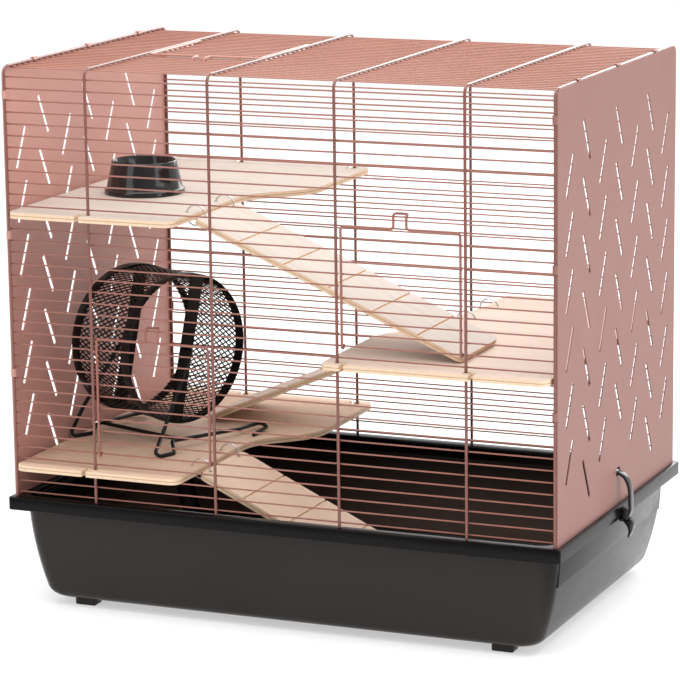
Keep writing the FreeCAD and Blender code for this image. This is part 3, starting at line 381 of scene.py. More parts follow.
def tray_finish():
    """Black rim, a painted grey reflection on the lower wall and a paler painted reflection inside, told
    apart by their place.
    """
    finish, _ = moulded("tray_plastic", gloss=0.16, wave=0.6 * MM, shine=0.14)
    place = finish.place()
    x, y = abs(finish.along(place, "X")), abs(finish.along(place, "Y"))
    z = finish.along(place, "Z")

    cloud = finish.noise(place, scale=9.0, detail=3.0)
    # Painted reflection: the wall below the rim band is painted grey, fainter near the ends.
    reflecting_low_wall = 1.0 - z.above(PAINTED_REFLECTION_TOP * MM)
    off_end = finish.fade(x, END_FADE[0] * MM, END_FADE[1] * MM, 1.0, 0.1)
    wall_with_reflection = finish.mix(reflecting_low_wall * off_end * (0.7 + 0.6 * cloud), RIM_BLACK, WALL_PAINTED_REFLECTION)

    depth = (TUB_TOP * MM - z) / ((TUB_TOP - TUB_FLOOR) * MM)
    curve, lean = TUB_CURVE * MM * depth ** 2.0, TUB_LEAN * MM * depth
    within_x = 1.0 - x.above((TUB_HALF_X - MID_WALL) * MM - curve)
    within_y = 1.0 - y.above((TUB_HALF_Y - MID_WALL) * MM - lean)
    off_corner = 1.0 - (x + y).above(CORNER_SUM * MM - curve - lean)
    inside = within_x * within_y * off_corner * z.above(ABOVE_HEEL * MM)
    # Painted reflection: the inside is painted paler towards its floor.
    inside_reflection = inside * finish.fade(z, INSIDE_PAINTED_REFLECTION_FADE[0] * MM, INSIDE_PAINTED_REFLECTION_FADE[1] * MM, 0.0, 1.0)

    # Painted reflection: the inner floor is painted pale as well.
    on_floor = z.above(FLOOR_LOW * MM) - z.above(FLOOR_HIGH * MM)
    on_floor = on_floor * (1.0 - x.above(FLOOR_HALF_X * MM)) * (1.0 - y.above(FLOOR_HALF_Y * MM))
    return finish.surface(base_color=finish.mix(inside_reflection + on_floor, wall_with_reflection, INSIDE_PAINTED_REFLECTION))


tray_plastic = tray_finish()
print("tray plastic ready,", len(tray_plastic.tree.nodes), "nodes")

# %% [markdown]
# ## Spring steel
# The rings that carry the ramps are bare steel. A metal has no colour of its own under the
# gloss, so Metallic is one, and a fine drawn noise breaks up the roughness.

# %% Spring steel
steel = Finish("ring_steel")
drawn = steel.noise(steel.place(), scale=800.0, detail=2.0)
steel.surface(base_color=steel.mix(drawn, colour(196, 196, 198), colour(222, 222, 224)),
              metallic=1.0, roughness=0.18 + 0.16 * drawn)
print("steel ready")

# %% [markdown]
# ## Plywood
# The shelves and ramps are thin birch plywood. Their faces are pale with soft streaks along
# the grain. Their edges are pale too, a little browned, with one thin dark line where the
# middle ply shows. One finish does both: it measures how far a point is from the middle of
# the board, and only a point at half the thickness is on a face. A ramp is tilted, so a
# Mapping node turns the pattern to the ramp's own axes first.

# %% Plywood
BOARD = 6.0
FACE_DEPTH = BOARD / 2 - 0.03
CORE = 0.4
GRAIN_STRETCH = (5.0, 90.0, 90.0)
PORE_STRETCH = (60.0, 900.0, 900.0)
PLY_PALE = colour(240, 213, 181)
PLY_BROWN = colour(146, 98, 68)
# Painted light and shade: one plywood in three tones by level, darker and greyer on the top level, which the
# lamp above lights most, and paler lower down, in the shade of the shelves above.
PAINTED_LIGHT_WOOD_TONES = {
    "upper": (colour(205, 195, 186), colour(178, 163, 150)),
    "middle": (colour(219, 199, 184), colour(198, 174, 156)),
    "lower": (colour(233, 204, 180), colour(212, 177, 150)),
}


def plywood(name, board, level_name):
    """Plywood for a board whose own axes and middle a matrix gives; the grain runs along X."""
    pale, streak = PAINTED_LIGHT_WOOD_TONES[level_name]
    finish = Finish(name)
    place = finish.turned_place(board)
    streaks = finish.noise(finish.stretched(place, *GRAIN_STRETCH), scale=1.0, detail=4.0)
    pores = finish.noise(finish.stretched(place, *PORE_STRETCH), scale=1.0, detail=2.0)
    grain = 0.75 * streaks + 0.25 * pores
    height = abs(finish.along(place, "Z"))
    on_face = height.above(FACE_DEPTH * MM)
    line = 1.0 - height.above(CORE * MM)
    burn = finish.noise(place, scale=160.0, detail=3.0)
    edge = finish.mix(0.3 * burn + 0.5 * line, PLY_PALE, PLY_BROWN)
    face = finish.mix(grain, pale, streak)
    finish.surface(
        base_color=finish.mix(on_face, edge, face),
        roughness=0.5 + 0.2 * grain,
        normal=finish.bump(grain + 0.4 * line, distance=0.15 * MM, strength=0.4))
    return finish


def board_matrix(node, slope=0.0):
    """The middle of a board, turned about Y by its slope."""
    low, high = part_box(node)
    middle = (Vector(low) + Vector(high)) / 2
    return Matrix.Translation(middle) @ Matrix.Rotation(math.radians(slope), 4, "Y")


# %% [markdown]
# ## Finishes on the pieces that stay
# The panels, boards and the wheel's crossbars keep the solids' meshes, whose shape is
# right. They only trade their plain material for a finish. Each shelf lies on a bar of the
# walls, so its height is counted in bars. The ramps' slopes are worked out from the rings
# they hang on and the surface they stand on.

# %% Dress the kept pieces
BAR_WIRE = 1.6
BAR_PITCH = 11.5
BAR_FIRST = 117.5
REST_GAP = 0.05
RING_RADIUS = 10.0
RING_MARGIN = 4.0
RAMP_REACH = RING_RADIUS + 300.0 - RING_MARGIN
RAMP_LIFT = 0.3
RAMP_FACING = {"upper": 1, "middle": -1, "lower": 1}
SHELF_ROWS = {"upper": 24, "middle": 13, "lower": 2}
SHELF_TOPS = {level_name: BAR_FIRST + BAR_PITCH * row + BAR_WIRE / 2 + REST_GAP + BOARD
              for level_name, row in SHELF_ROWS.items()}
LANDINGS = {"upper": SHELF_TOPS["middle"], "middle": SHELF_TOPS["lower"], "lower": TUB_FLOOR + TRAY_WALL}


def ramp_slope(level_name):
    """Slope of a ramp in degrees, from its rings down to its landing."""
    half = BOARD / 2
    drop = SHELF_TOPS[level_name] - half - LANDINGS[level_name] - RAMP_LIFT
    return math.degrees(math.asin(drop / math.hypot(RAMP_REACH, half)) - math.atan2(half, RAMP_REACH))


def dress(node, finish):
    """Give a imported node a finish."""
    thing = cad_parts[node]
    thing.data.materials.clear()
    thing.data.materials.append(finish.material)


dress("left_side_panel", left_panel_painted_light_coat)
dress("right_side_panel", right_panel_painted_shade_coat)
for end_name in ("near", "far"):
    dress(f"wheel_crossbar_{end_name}", black_coat)
for level_name, end_name in (("upper", "left"), ("middle", "right"), ("lower", "left")):
    node = f"shelf_{level_name}_{end_name}"
    dress(node, plywood(f"plywood_{node}", board_matrix(node), level_name))
for level_name, facing in RAMP_FACING.items():
    node = f"ramp_{level_name}"
    slope = facing * ramp_slope(level_name)
    dress(node, plywood(f"plywood_{node}", board_matrix(node, slope), level_name))
    print(node, "slope", round(slope, 2))

# %% [markdown]
# ## Tools for bent wire
# Every wire of the cage is one rod, bent round pegs. It can be drawn as a curve with a
# bevel, but a rod is also easy to model as it is made: a small disc is pushed along a
# straight run with Extrude and swung round a peg with Spin, again and again. The disc stays
# selected at the growing end, so each step carries on where the last one stopped.

# %% Wire tools
SHORTEST_RUN = 1e-6


def begin(name):
    """Name the primitive that was just added, and open it with all its faces selected."""
    piece = bpy.context.object
    piece.name = name
    bpy.ops.object.mode_set(mode="EDIT")
    bpy.ops.mesh.select_mode(type="FACE")
    bpy.ops.mesh.select_all(action="SELECT")
    return piece


def disc(name, place, heading, diameter, sides):
    """The end of a rod, facing the way the rod will grow."""
    bpy.ops.object.select_all(action="DESELECT")
    turn = Vector(heading).to_track_quat("Z", "Y").to_euler()
    bpy.ops.mesh.primitive_circle_add(vertices=sides, radius=diameter / 2, fill_type="NGON",
                                      location=place, rotation=turn)
    return begin(name)


def push(step):
    bpy.ops.mesh.extrude_region_move(TRANSFORM_OT_translate={"value": step})


def swing(centre, start, finish, angle, steps):
    """Swing the growing end about a centre, from one place to another."""
    axis = (finish - centre).cross(start - centre).normalized()
    bpy.ops.mesh.spin(steps=steps, angle=angle, center=centre, axis=axis)


def draw_along(points, bends, steps):
    """Grow the selected end along a route whose inner corners are bent."""
    here = points[0]
    for before, corner, after, bend in zip(points, points[1:], points[2:], bends):
        towards = (before - corner).normalized()
        away = (after - corner).normalized()
        half_turn = (math.pi - towards.angle(away)) / 2
        cut = bend * math.tan(half_turn)
        centre = corner + (towards + away).normalized() * (bend / math.cos(half_turn))
        entry, leave = corner + towards * cut, corner + away * cut
        if (entry - here).length > SHORTEST_RUN:
            push(entry - here)
        swing(centre, entry, leave, 2 * half_turn, steps)
        here = leave
    if (points[-1] - here).length > SHORTEST_RUN:
        push(points[-1] - here)


def select_faces(test):
    """In edit mode, select the faces whose middle and normal pass a test."""
    bpy.ops.mesh.select_all(action="DESELECT")
    mesh = bmesh.from_edit_mesh(bpy.context.object.data)
    for face in mesh.faces:
        face.select_set(bool(test(face.calc_center_median(), face.normal)))
    mesh.select_flush_mode()
    bmesh.update_edit_mesh(bpy.context.object.data)


# %% [markdown]
# ## Tools for finished pieces
# A grown piece has to be closed, put in its place and handed over. By hand that is a round
# of clicks: leave edit mode, apply the place, apply the modifiers, shade, give the finish.
# Each of these is a short function here, so that no piece misses a step.

# %% Piece tools


def pick(piece):
    """Select one object alone and make it active."""
    bpy.ops.object.select_all(action="DESELECT")
    piece.select_set(True)
    bpy.context.view_layer.objects.active = piece


def settle(piece):
    """Leave edit mode and put the piece's place and turn into its mesh."""
    bpy.ops.object.mode_set(mode="OBJECT")
    pick(piece)
    bpy.ops.object.transform_apply(location=True, rotation=True, scale=True)


def apply_modifier(piece, kind, **settings):
    """Add a modifier, set it up and apply it."""
    modifier = piece.modifiers.new(kind.lower(), kind)
    for key, setting in settings.items():
        setattr(modifier, key, setting)
    bpy.ops.object.modifier_apply(modifier=modifier.name)


def repeat(piece, step, count):
    """Repeat a settled piece in a row."""
    if count > 1:
        apply_modifier(piece, "ARRAY", count=count, use_relative_offset=False,
                       use_constant_offset=True, constant_offset_displace=step)


def copy_of(piece, matrix):
    """A copy with its own mesh, moved by a matrix."""
    pick(piece)
    bpy.ops.object.duplicate()
    twin = bpy.context.object
    twin.matrix_world = matrix
    settle(twin)
    return twin


def join(pieces):
    """Make one object of several."""
    bpy.ops.object.select_all(action="DESELECT")
    for piece in pieces:
        piece.select_set(True)
    bpy.context.view_layer.objects.active = pieces[0]
    bpy.ops.object.join()
    return pieces[0]


def hand_over(piece, name, finish, body, node, crease=40):
    """Shade and dress a settled piece, let it ride on its body and stand for its node."""
    pick(piece)
    bpy.ops.object.shade_smooth_by_angle(angle=math.radians(crease))
    piece.name = piece.data.name = name
    piece.data.materials.clear()
    piece.data.materials.append(finish.material)
    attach(piece, body)
    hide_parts(node)
    mesh = bmesh.new()
    mesh.from_mesh(piece.data)
    loose = sum(1 for edge in mesh.edges if len(edge.link_faces) != 2)
    print(name, len(mesh.faces), "faces,", loose, "open edges, volume",
          round(mesh.calc_volume(signed=True) * 1e6, 2), "ml")
    mesh.free()


# %% [markdown]
# ## Hoops
# Six hoops of thicker wire carry the cage: each stands on the tray's rim at the front, goes
# over the roof and comes down at the back. One is modelled with two tight bends at the
# roof, and the others are copies of it, moved along the cage.

# %% Hoops
HOOP_WIRE = 3.0
HOOP_Y = 177.5
HOOP_BEND = 8.0
ROOF_Z = 541.5
RIM_Z = 113.0
HOOPS = {"left_end": -282.5, "left_outer": -195.0, "left_inner": -65.0,
         "right_inner": 65.0, "right_outer": 195.0, "right_end": 282.5}

hoop_route = [mm(0, -HOOP_Y, RIM_Z), mm(0, -HOOP_Y, ROOF_Z), mm(0, HOOP_Y, ROOF_Z), mm(0, HOOP_Y, RIM_Z)]
hoop = disc("hoop", hoop_route[0], (0, 0, 1), HOOP_WIRE * MM, sides=14)
draw_along(hoop_route, [HOOP_BEND * MM] * 2, steps=8)
settle(hoop)
for place_name, x in HOOPS.items():
    twin = copy_of(hoop, Matrix.Translation(mm(x, 0, 0)))
    hand_over(twin, f"round_hoop_{place_name}", hoop_painted_shade_coat, "cage", f"hoop_{place_name}")
bpy.data.objects.remove(hoop)

# %% [markdown]
# ## Bars
# Thin bars run along the front, the back and the roof, all at one spacing, and stop at the
# doors. Each stretch is a rod with eased ends, and an Array modifier repeats it row by row.
# Rows are counted up from the tray on a wall, and from the middle on the roof.

# %% Bars
WELD = 2.4
BAR_Y = HOOP_Y - WELD
BAR_ROOF_Z = ROOF_Z - WELD
BAR_END = 283.7
BAR_EASE = 0.25
WALL_ROWS = 37
ROOF_REACH = 14
DOOR_PITCHES = 10
DOOR_BARS = DOOR_PITCHES - 1
LEFT_HINGE_ROW, RIGHT_HINGE_ROW, ROOF_HINGE_ROW = 4, 15, 6


def bay(left_hoop, right_hoop):
    """Where the bars stop on either side of a door: at the hoops beside it."""
    return HOOPS[left_hoop] + HOOP_WIRE / 2, HOOPS[right_hoop] - HOOP_WIRE / 2


def bars(low_x, high_x, y, z, step, count):
    """A row of equal bars along X, each with eased ends."""
    piece = disc("bars", mm(low_x, y, z), (1, 0, 0), BAR_WIRE * MM, sides=10)
    push(mm(high_x - low_x, 0, 0))
    select_faces(lambda middle, normal: abs(normal.x) > 0.9)
    bpy.ops.mesh.bevel(offset=BAR_EASE * MM, segments=1, affect="EDGES")
    settle(piece)
    repeat(piece, step, count)
    return piece


def bar_rows(y, z, step_y, step_z, runs):
    """Rows that climb by a step: each run has its ends, its first row and how many rows."""
    step = mm(0, step_y, step_z)
    return join([bars(low_x, high_x, y + step_y * first, z + step_z * first, step, count)
                 for low_x, high_x, first, count in runs])


def beside(door, first):
    """The short runs at the left and at the right of a door."""
    return [(-BAR_END, door[0], first, DOOR_BARS), (door[1], BAR_END, first, DOOR_BARS)]


def full(first, end):
    """A run of whole bars, from a first row up to the one before an end."""
    return (-BAR_END, BAR_END, first, end - first)


DOOR_LEFT = bay("left_outer", "left_inner")
DOOR_RIGHT = bay("right_inner", "right_outer")
left_first, right_first = LEFT_HINGE_ROW + 1, RIGHT_HINGE_ROW + 1
roof_first = ROOF_HINGE_ROW - DOOR_BARS
front_runs = [full(0, left_first), full(left_first + DOOR_BARS, right_first),
              full(right_first + DOOR_BARS, WALL_ROWS),
              *beside(DOOR_LEFT, left_first), *beside(DOOR_RIGHT, right_first)]
roof_runs = [full(-ROOF_REACH, roof_first), full(ROOF_HINGE_ROW, ROOF_REACH + 1),
             *beside(DOOR_LEFT, roof_first)]

hand_over(bar_rows(-BAR_Y, BAR_FIRST, 0, BAR_PITCH, front_runs), "round_front_bars", wire_coat,
          "cage", "front_bars")
hand_over(bar_rows(BAR_Y, BAR_FIRST, 0, BAR_PITCH, [full(0, WALL_ROWS)]), "round_back_bars", back_painted_light_coat,
          "cage", "back_bars")
hand_over(bar_rows(0, BAR_ROOF_Z, BAR_PITCH, 0, roof_runs), "round_roof_bars", roof_painted_light_coat,
          "cage", "roof_bars")

# %% [markdown]
# ## Doors
# Each of the three doors is one bent wire: an eye round the hinge bar, a side, the top with
# a latch loop in its middle, the other side and the other eye. Thin bars are welded across
# it. The door is modelled once, upright at the origin, and a matrix puts each copy in its
# place. The roof door lies down, with its outside up.

# %% Doors
DOOR_WIRE = 2.5
DOOR_HALF = 60.0
DOOR_OUT = 2.35
DOOR_TOP = DOOR_PITCHES * BAR_PITCH
DOOR_BAR_Y = -0.2
LATCH_RISE = 2.45
LATCH_REACH = 4.0
LATCH_BEND = 3.0
DOOR_BEND = 4.0
DOOR_HOOK = DOOR_TOP + BAR_PITCH + LATCH_RISE
PRONG = 6.5
EYE_TAIL = 1.2

right_half = [mm(PRONG, LATCH_REACH, DOOR_HOOK), mm(PRONG, -DOOR_OUT, DOOR_HOOK),
              mm(PRONG, -DOOR_OUT, DOOR_TOP), mm(DOOR_HALF, -DOOR_OUT, DOOR_TOP),
              mm(DOOR_HALF, -DOOR_OUT, -DOOR_OUT), mm(DOOR_HALF, DOOR_OUT, -DOOR_OUT),
              mm(DOOR_HALF, DOOR_OUT, EYE_TAIL)]
left_half = [Vector((-point.x, point.y, point.z)) for point in reversed(right_half)]
half_bends = [LATCH_BEND] * 3 + [DOOR_BEND] + [DOOR_OUT] * 2
door_bends = [bend * MM for bend in half_bends[::-1] + half_bends]

door_frame = disc("door_frame", left_half[0], (0, 0, -1), DOOR_WIRE * MM, sides=12)
draw_along(left_half + right_half, door_bends, steps=5)
settle(door_frame)
bar_reach = DOOR_HALF + DOOR_WIRE / 2
door_bars = bars(-bar_reach, bar_reach, DOOR_BAR_Y, BAR_PITCH, mm(0, 0, BAR_PITCH), DOOR_BARS)

lying = Matrix(((-1, 0, 0), (0, 0, -1), (0, -1, 0))).to_4x4()
left_x, right_x = sum(DOOR_LEFT) / 2, sum(DOOR_RIGHT) / 2
door_places = {
    "front_left_door": Matrix.Translation(mm(left_x, -BAR_Y, BAR_FIRST + LEFT_HINGE_ROW * BAR_PITCH)),
    "front_right_door": Matrix.Translation(mm(right_x, -BAR_Y, BAR_FIRST + RIGHT_HINGE_ROW * BAR_PITCH)),
    "roof_door": Matrix.Translation(mm(left_x, ROOF_HINGE_ROW * BAR_PITCH, BAR_ROOF_Z)) @ lying,
}
for door_name, matrix in door_places.items():
    # The roof door takes the roof's copy of the coat, painted paler for the light from above.
    coat = roof_painted_light_coat if door_name == "roof_door" else wire_coat
    for pattern, part in ((door_frame, "frame"), (door_bars, "bars")):
        twin = copy_of(pattern, matrix)
        hand_over(twin, f"round_{door_name}_{part}", coat, door_name, f"{door_name}_{part}")
bpy.data.objects.remove(door_frame)
bpy.data.objects.remove(door_bars)

# %% [markdown]
# ## Ramp rings
# Each ramp hangs on two open rings of spring steel. A ring is the plainest use of Spin: a
# disc swung almost all the way round, with a small opening left at the top.

# %% Ramp rings
RING_WIRE = 1.6
RING_OPENING = 12.0
RING_SPACING = 66.0
RING_X, RING_Y = 103.5, 95.0

for level_name, facing in RAMP_FACING.items():
    middle = mm(-facing * RING_X, -facing * RING_Y, SHELF_TOPS[level_name] - BOARD / 2)
    pair = []
    for side in (-1, 1):
        centre = middle + mm(0, side * RING_SPACING / 2, 0)
        opening = math.radians(90 + RING_OPENING / 2)
        arm = Vector((math.cos(opening), 0, math.sin(opening))) * RING_RADIUS * MM
        heading = Vector((-math.sin(opening), 0, math.cos(opening)))
        ring = disc("ring", centre + arm, heading, RING_WIRE * MM, sides=10)
        swing(centre, centre + arm, centre + heading, math.radians(360 - RING_OPENING), steps=32)
        settle(ring)
        pair.append(ring)
    hand_over(join(pair), f"round_ramp_rings_{level_name}", steel, "cage",
              f"ramp_rings_{level_name}")

# %% [markdown]
# ## Tray
# The tray is one deep moulding: a tub whose ends curve in towards the floor, a flange, and
# a band that hangs from the flange's edge. It is grown as one skin: a disc is opened out
# to a rounded oblong, and each Extrude makes the next level, outside first, then over the
# rim and down the inside to the floor. Every level has the same number of points, so a
# level's size and corner radius can change freely.

# %% Tray
CORNER_POINTS = 9
HEEL = 10.0
HEEL_STEPS, WALL_STEPS = 5, 8
TUB_CORNER = 18.0
RIM_HALF_X, RIM_HALF_Y, RIM_CORNER = 290.0, 185.0, 3.5
FLANGE_INSET, FLANGE_CORNER = 3.0, 1.5
RIM_PROFILE = ((110.0, 2.5), (100.4, 2.5), (100.0, 2.1), (100.0, 0.5), (100.5, 0.0),
               (111.6, 0.0), (112.6, 0.4), (113.0, 1.4))
MOUTH_PROFILE = ((113.0, 1.0), (112.6, 2.0), (111.6, 2.5))


def oblong(z, half_x, half_y, radius):
    """Points of a level rounded oblong, counted round from the right."""
    points = []
    for quarter, (side_x, side_y) in enumerate(((1, 1), (-1, 1), (-1, -1), (1, -1))):
        for number in range(CORNER_POINTS):
            angle = math.pi / 2 * (quarter + number / (CORNER_POINTS - 1))
            points.append(mm(side_x * (half_x - radius) + radius * math.cos(angle),
                             side_y * (half_y - radius) + radius * math.sin(angle), z))
    return points


def take_level(points):
    """Move the selected ring of points to a new level, in order round the middle."""
    mesh = bmesh.from_edit_mesh(bpy.context.object.data)
    ring = [vertex for vertex in mesh.verts if vertex.select]
    ring.sort(key=lambda vertex: math.atan2(vertex.co.y, vertex.co.x) % (2 * math.pi))
    for vertex, point in zip(ring, points):
        vertex.co = point
    bmesh.update_edit_mesh(bpy.context.object.data)


def tub_level(z, inset):
    """Half sizes of the tub at a height, moved in by an inset."""
    depth = (TUB_TOP - z) / (TUB_TOP - TUB_FLOOR)
    return TUB_HALF_X - TUB_CURVE * depth ** 2 - inset, TUB_HALF_Y - TUB_LEAN * depth - inset


def tub_wall(floor_z, heel, inset):
    """Levels of a tub's wall from the floor up: the rounded heel, then the sides."""
    levels = []
    for step in range(HEEL_STEPS + 1):
        angle = math.pi / 2 * step / HEEL_STEPS
        z = floor_z + heel * (1 - math.cos(angle))
        half_x, half_y = tub_level(z, inset + heel * (1 - math.sin(angle)))
        levels.append((z, half_x, half_y, TUB_CORNER - inset))
    for step in range(1, WALL_STEPS + 1):
        z = floor_z + heel + (TUB_TOP - floor_z - heel) * step / WALL_STEPS
        levels.append((z, *tub_level(z, inset), TUB_CORNER - inset))
    return levels


tray_levels = tub_wall(TUB_FLOOR, HEEL, 0.0)
tray_levels.append((TUB_TOP, RIM_HALF_X - FLANGE_INSET, RIM_HALF_Y - FLANGE_INSET, FLANGE_CORNER))
for z, inset in RIM_PROFILE:
    tray_levels.append((z, RIM_HALF_X - inset, RIM_HALF_Y - inset, RIM_CORNER - inset))
for z, inset in MOUTH_PROFILE:
    tray_levels.append((z, TUB_HALF_X - inset, TUB_HALF_Y - inset, TUB_CORNER - inset))
tray_levels += tub_wall(TUB_FLOOR + TRAY_WALL, HEEL - TRAY_WALL, TRAY_WALL)[::-1]

bpy.ops.object.select_all(action="DESELECT")
bpy.ops.mesh.primitive_circle_add(vertices=4 * CORNER_POINTS, radius=0.1, fill_type="NGON")
tray = begin("tray")
take_level(oblong(*tray_levels[0]))
for tray_level in tray_levels[1:]:
    push((0, 0, 0))
    take_level(oblong(*tray_level))
settle(tray)
print("tray skin,", len(tray_levels), "levels")

# %% [markdown]
# A raised belt strengthens each end under the rim, and four feet carry the tray. Each is a
# block that Bevel softens; they sink into the tub's wall, as mouldings do. The belt's lower
# edge is moved in, so that its face leans with the wall behind it.

# %% Belts and feet
BLOCK_EASE = 1.5
BELT_X = (268.5, 281.4)
BELT_HALF_Y = 156.0
BELT_LOW, BELT_HIGH = 68.0, 110.2
BELT_EDGE_BELOW, BELT_LEAN = 80.0, 3.2
FOOT_X, FOOT_Y = 222.0, 148.0
FOOT_HALF_X, FOOT_HALF_Y, FOOT_TOP = 11.0, 8.0, 10.4


def soft_block(low, high):
    """A block between two corners with eased edges."""
    bpy.ops.object.select_all(action="DESELECT")
    bpy.ops.mesh.primitive_cube_add(size=1, location=(low + high) / 2, scale=high - low)
    block = begin("block")
    settle(block)
    bpy.ops.object.mode_set(mode="EDIT")
    bpy.ops.mesh.select_all(action="SELECT")
    bpy.ops.mesh.bevel(offset=BLOCK_EASE * MM, segments=3, affect="EDGES")
    settle(block)
    return block


def belt_block(side):
    """A belt whose outer face leans in with the tub's wall."""
    low_x, high_x = sorted(side * x for x in BELT_X)
    belt = soft_block(mm(low_x, -BELT_HALF_Y, BELT_LOW), mm(high_x, BELT_HALF_Y, BELT_HIGH))
    bpy.ops.object.mode_set(mode="EDIT")
    select_faces(lambda middle, normal: middle.z < BELT_EDGE_BELOW * MM)
    bpy.ops.transform.translate(value=mm(-side * BELT_LEAN, 0, 0))
    settle(belt)
    return belt


tray_parts = [tray]
for side in (-1, 1):
    tray_parts.append(belt_block(side))
    for side_y in (-1, 1):
        foot = mm(side * FOOT_X, side_y * FOOT_Y, 0)
        tray_parts.append(soft_block(foot + mm(-FOOT_HALF_X, -FOOT_HALF_Y, 0),
                                     foot + mm(FOOT_HALF_X, FOOT_HALF_Y, FOOT_TOP)))
hand_over(join(tray_parts), "moulded_tray", tray_plastic, "cage", "base_tray", crease=35)

# %% [markdown]
# ## Bowl
# The bowl is turned: a skirt that narrows to the lip, a dish in its top and a hollow below.
# It could be spun from a profile, but growing it ring by ring, as the tray, leaves no seam.

# %% Bowl
BOWL_SIDES = 64
BOWL_CENTRE = mm(-205, -34, SHELF_TOPS["upper"] + REST_GAP)
BOWL_PROFILE = ((12.0, 8.0), (35.5, 8.0), (37.5, 6.0), (38.0, 0.4), (38.4, 0.0), (40.0, 0.0), (40.5, 0.5),
                (40.5, 3.6), (40.1, 4.6), (38.9, 5.2), (38.3, 6.0), (36.2, 16.0), (34.3, 25.0), (33.1, 31.2),
                (32.6, 32.5), (31.8, 33.0), (31.0, 32.8), (30.4, 31.8), (29.0, 24.0), (27.6, 16.0),
                (25.6, 12.4), (22.5, 10.8), (12.0, 10.5))


def turned_form(name, profile, sides, centre):
    """Grow a turned form ring by ring; each ring is a radius and a height in millimetres."""
    bpy.ops.object.select_all(action="DESELECT")
    radius, height = profile[0]
    bpy.ops.mesh.primitive_circle_add(vertices=sides, radius=radius * MM, fill_type="NGON",
                                      location=centre + mm(0, 0, height))
    piece = begin(name)
    for next_radius, next_height in profile[1:]:
        push(mm(0, 0, next_height - height))
        bpy.ops.transform.resize(value=(next_radius / radius, next_radius / radius, 1),
                                 center_override=centre + mm(0, 0, next_height))
        radius, height = next_radius, next_height
    settle(piece)
    return piece


hand_over(turned_form("bowl", BOWL_PROFILE, BOWL_SIDES, BOWL_CENTRE), "turned_food_bowl", bowl_plastic,
          "bowl", "food_bowl", crease=30)

# %% [markdown]
# ## Wheel
# The running wheel is a drum of expanded metal between two bands. Expanded metal is a sheet
# slit and pulled until it opens into diamonds. One strand is a ring that zigzags: a circle
# with every second point pushed aside, widened with Extrude and thickened with Solidify.
# The next strand is its mirror image, and an Array repeats the pair along the axle.

# %% Wheel mesh
WHEEL_HEIGHT = 93.0
WHEEL_MIDDLE = mm(-207, -8, SHELF_TOPS["lower"] + WHEEL_HEIGHT)
WHEEL_TURN = -24.0
WHEEL_HALF = 45.0
MESH_RADIUS = 75.2
MESH_SHEET = 1.0
STRAND_POINTS = 172
STRAND_PITCH = 9.7
STRAND_WIDTH = 2.4
STRAND_PAIRS = 9
axle = Matrix.Translation(WHEEL_MIDDLE) @ Matrix.Rotation(math.radians(WHEEL_TURN), 4, "Z")
upright_axle = axle @ Matrix.Rotation(math.radians(90), 4, "Y")


def open_ring(name, points, radius, height):
    """A bare circle about Z, opened for editing."""
    bpy.ops.object.select_all(action="DESELECT")
    bpy.ops.mesh.primitive_circle_add(vertices=points, radius=radius * MM, fill_type="NOTHING",
                                      location=mm(0, 0, height))
    return begin(name)


def widen(piece, width, sheet):
    """Widen a circle along Z and give it the thickness of its sheet."""
    bpy.ops.mesh.select_mode(type="EDGE")
    bpy.ops.mesh.select_all(action="SELECT")
    push(mm(0, 0, width))
    settle(piece)
    apply_modifier(piece, "SOLIDIFY", thickness=sheet * MM, offset=0.0)


def strand(shift, phase):
    """One zigzag ring about Z, at a shift along it."""
    piece = open_ring("strand", STRAND_POINTS, MESH_RADIUS, shift - STRAND_WIDTH / 2)
    mesh = bmesh.from_edit_mesh(piece.data)
    for number, vertex in enumerate(mesh.verts):
        vertex.co.z += STRAND_PITCH / 4 * MM * (1 if (number + phase) % 2 else -1)
    bmesh.update_edit_mesh(piece.data)
    widen(piece, STRAND_WIDTH, MESH_SHEET)
    return piece


first_shift = -WHEEL_HALF + STRAND_PITCH / 4 + STRAND_WIDTH / 2
mesh_drum = join([strand(first_shift, 0), strand(first_shift + STRAND_PITCH / 2, 1)])
repeat(mesh_drum, mm(0, 0, STRAND_PITCH), STRAND_PAIRS)
mesh_drum.matrix_world = upright_axle
settle(mesh_drum)
hand_over(mesh_drum, "expanded_wheel_mesh", black_coat, "wheel", "wheel_mesh", crease=30)

# %% [markdown]
# The bands at the wheel's ends are strips of sheet, bent into rings. A circle is widened
# with Extrude, Solidify gives it the sheet's thickness and Bevel eases its edges, where the
# light draws a thin bright line.

# %% Wheel bands
WHEEL_RADIUS = 77.0
BAND = 12.0
BAND_SHEET = 1.2
BAND_EASE = 0.3
BAND_SIDES = 96

for end_name, low in (("near", WHEEL_HALF - BAND), ("far", -WHEEL_HALF)):
    band = open_ring("band", BAND_SIDES, WHEEL_RADIUS - BAND_SHEET / 2, low)
    widen(band, BAND, BAND_SHEET)
    apply_modifier(band, "BEVEL", width=BAND_EASE * MM, segments=2, limit_method="ANGLE")
    band.matrix_world = upright_axle
    settle(band)
    hand_over(band, f"rolled_wheel_rim_{end_name}", black_coat, "wheel",
              f"wheel_rim_{end_name}")

# %% [markdown]
# ## Wheel stand
# Two thick wires carry the wheel. Each starts inside the wheel as its pivot, turns down as
# a leg, makes a front foot, runs along the shelf and ends in a back foot. A short tie joins
# the two. The stops below are bends of the wire, seen from the wheel's middle: along the
# axle, across it, and up from the shelf.

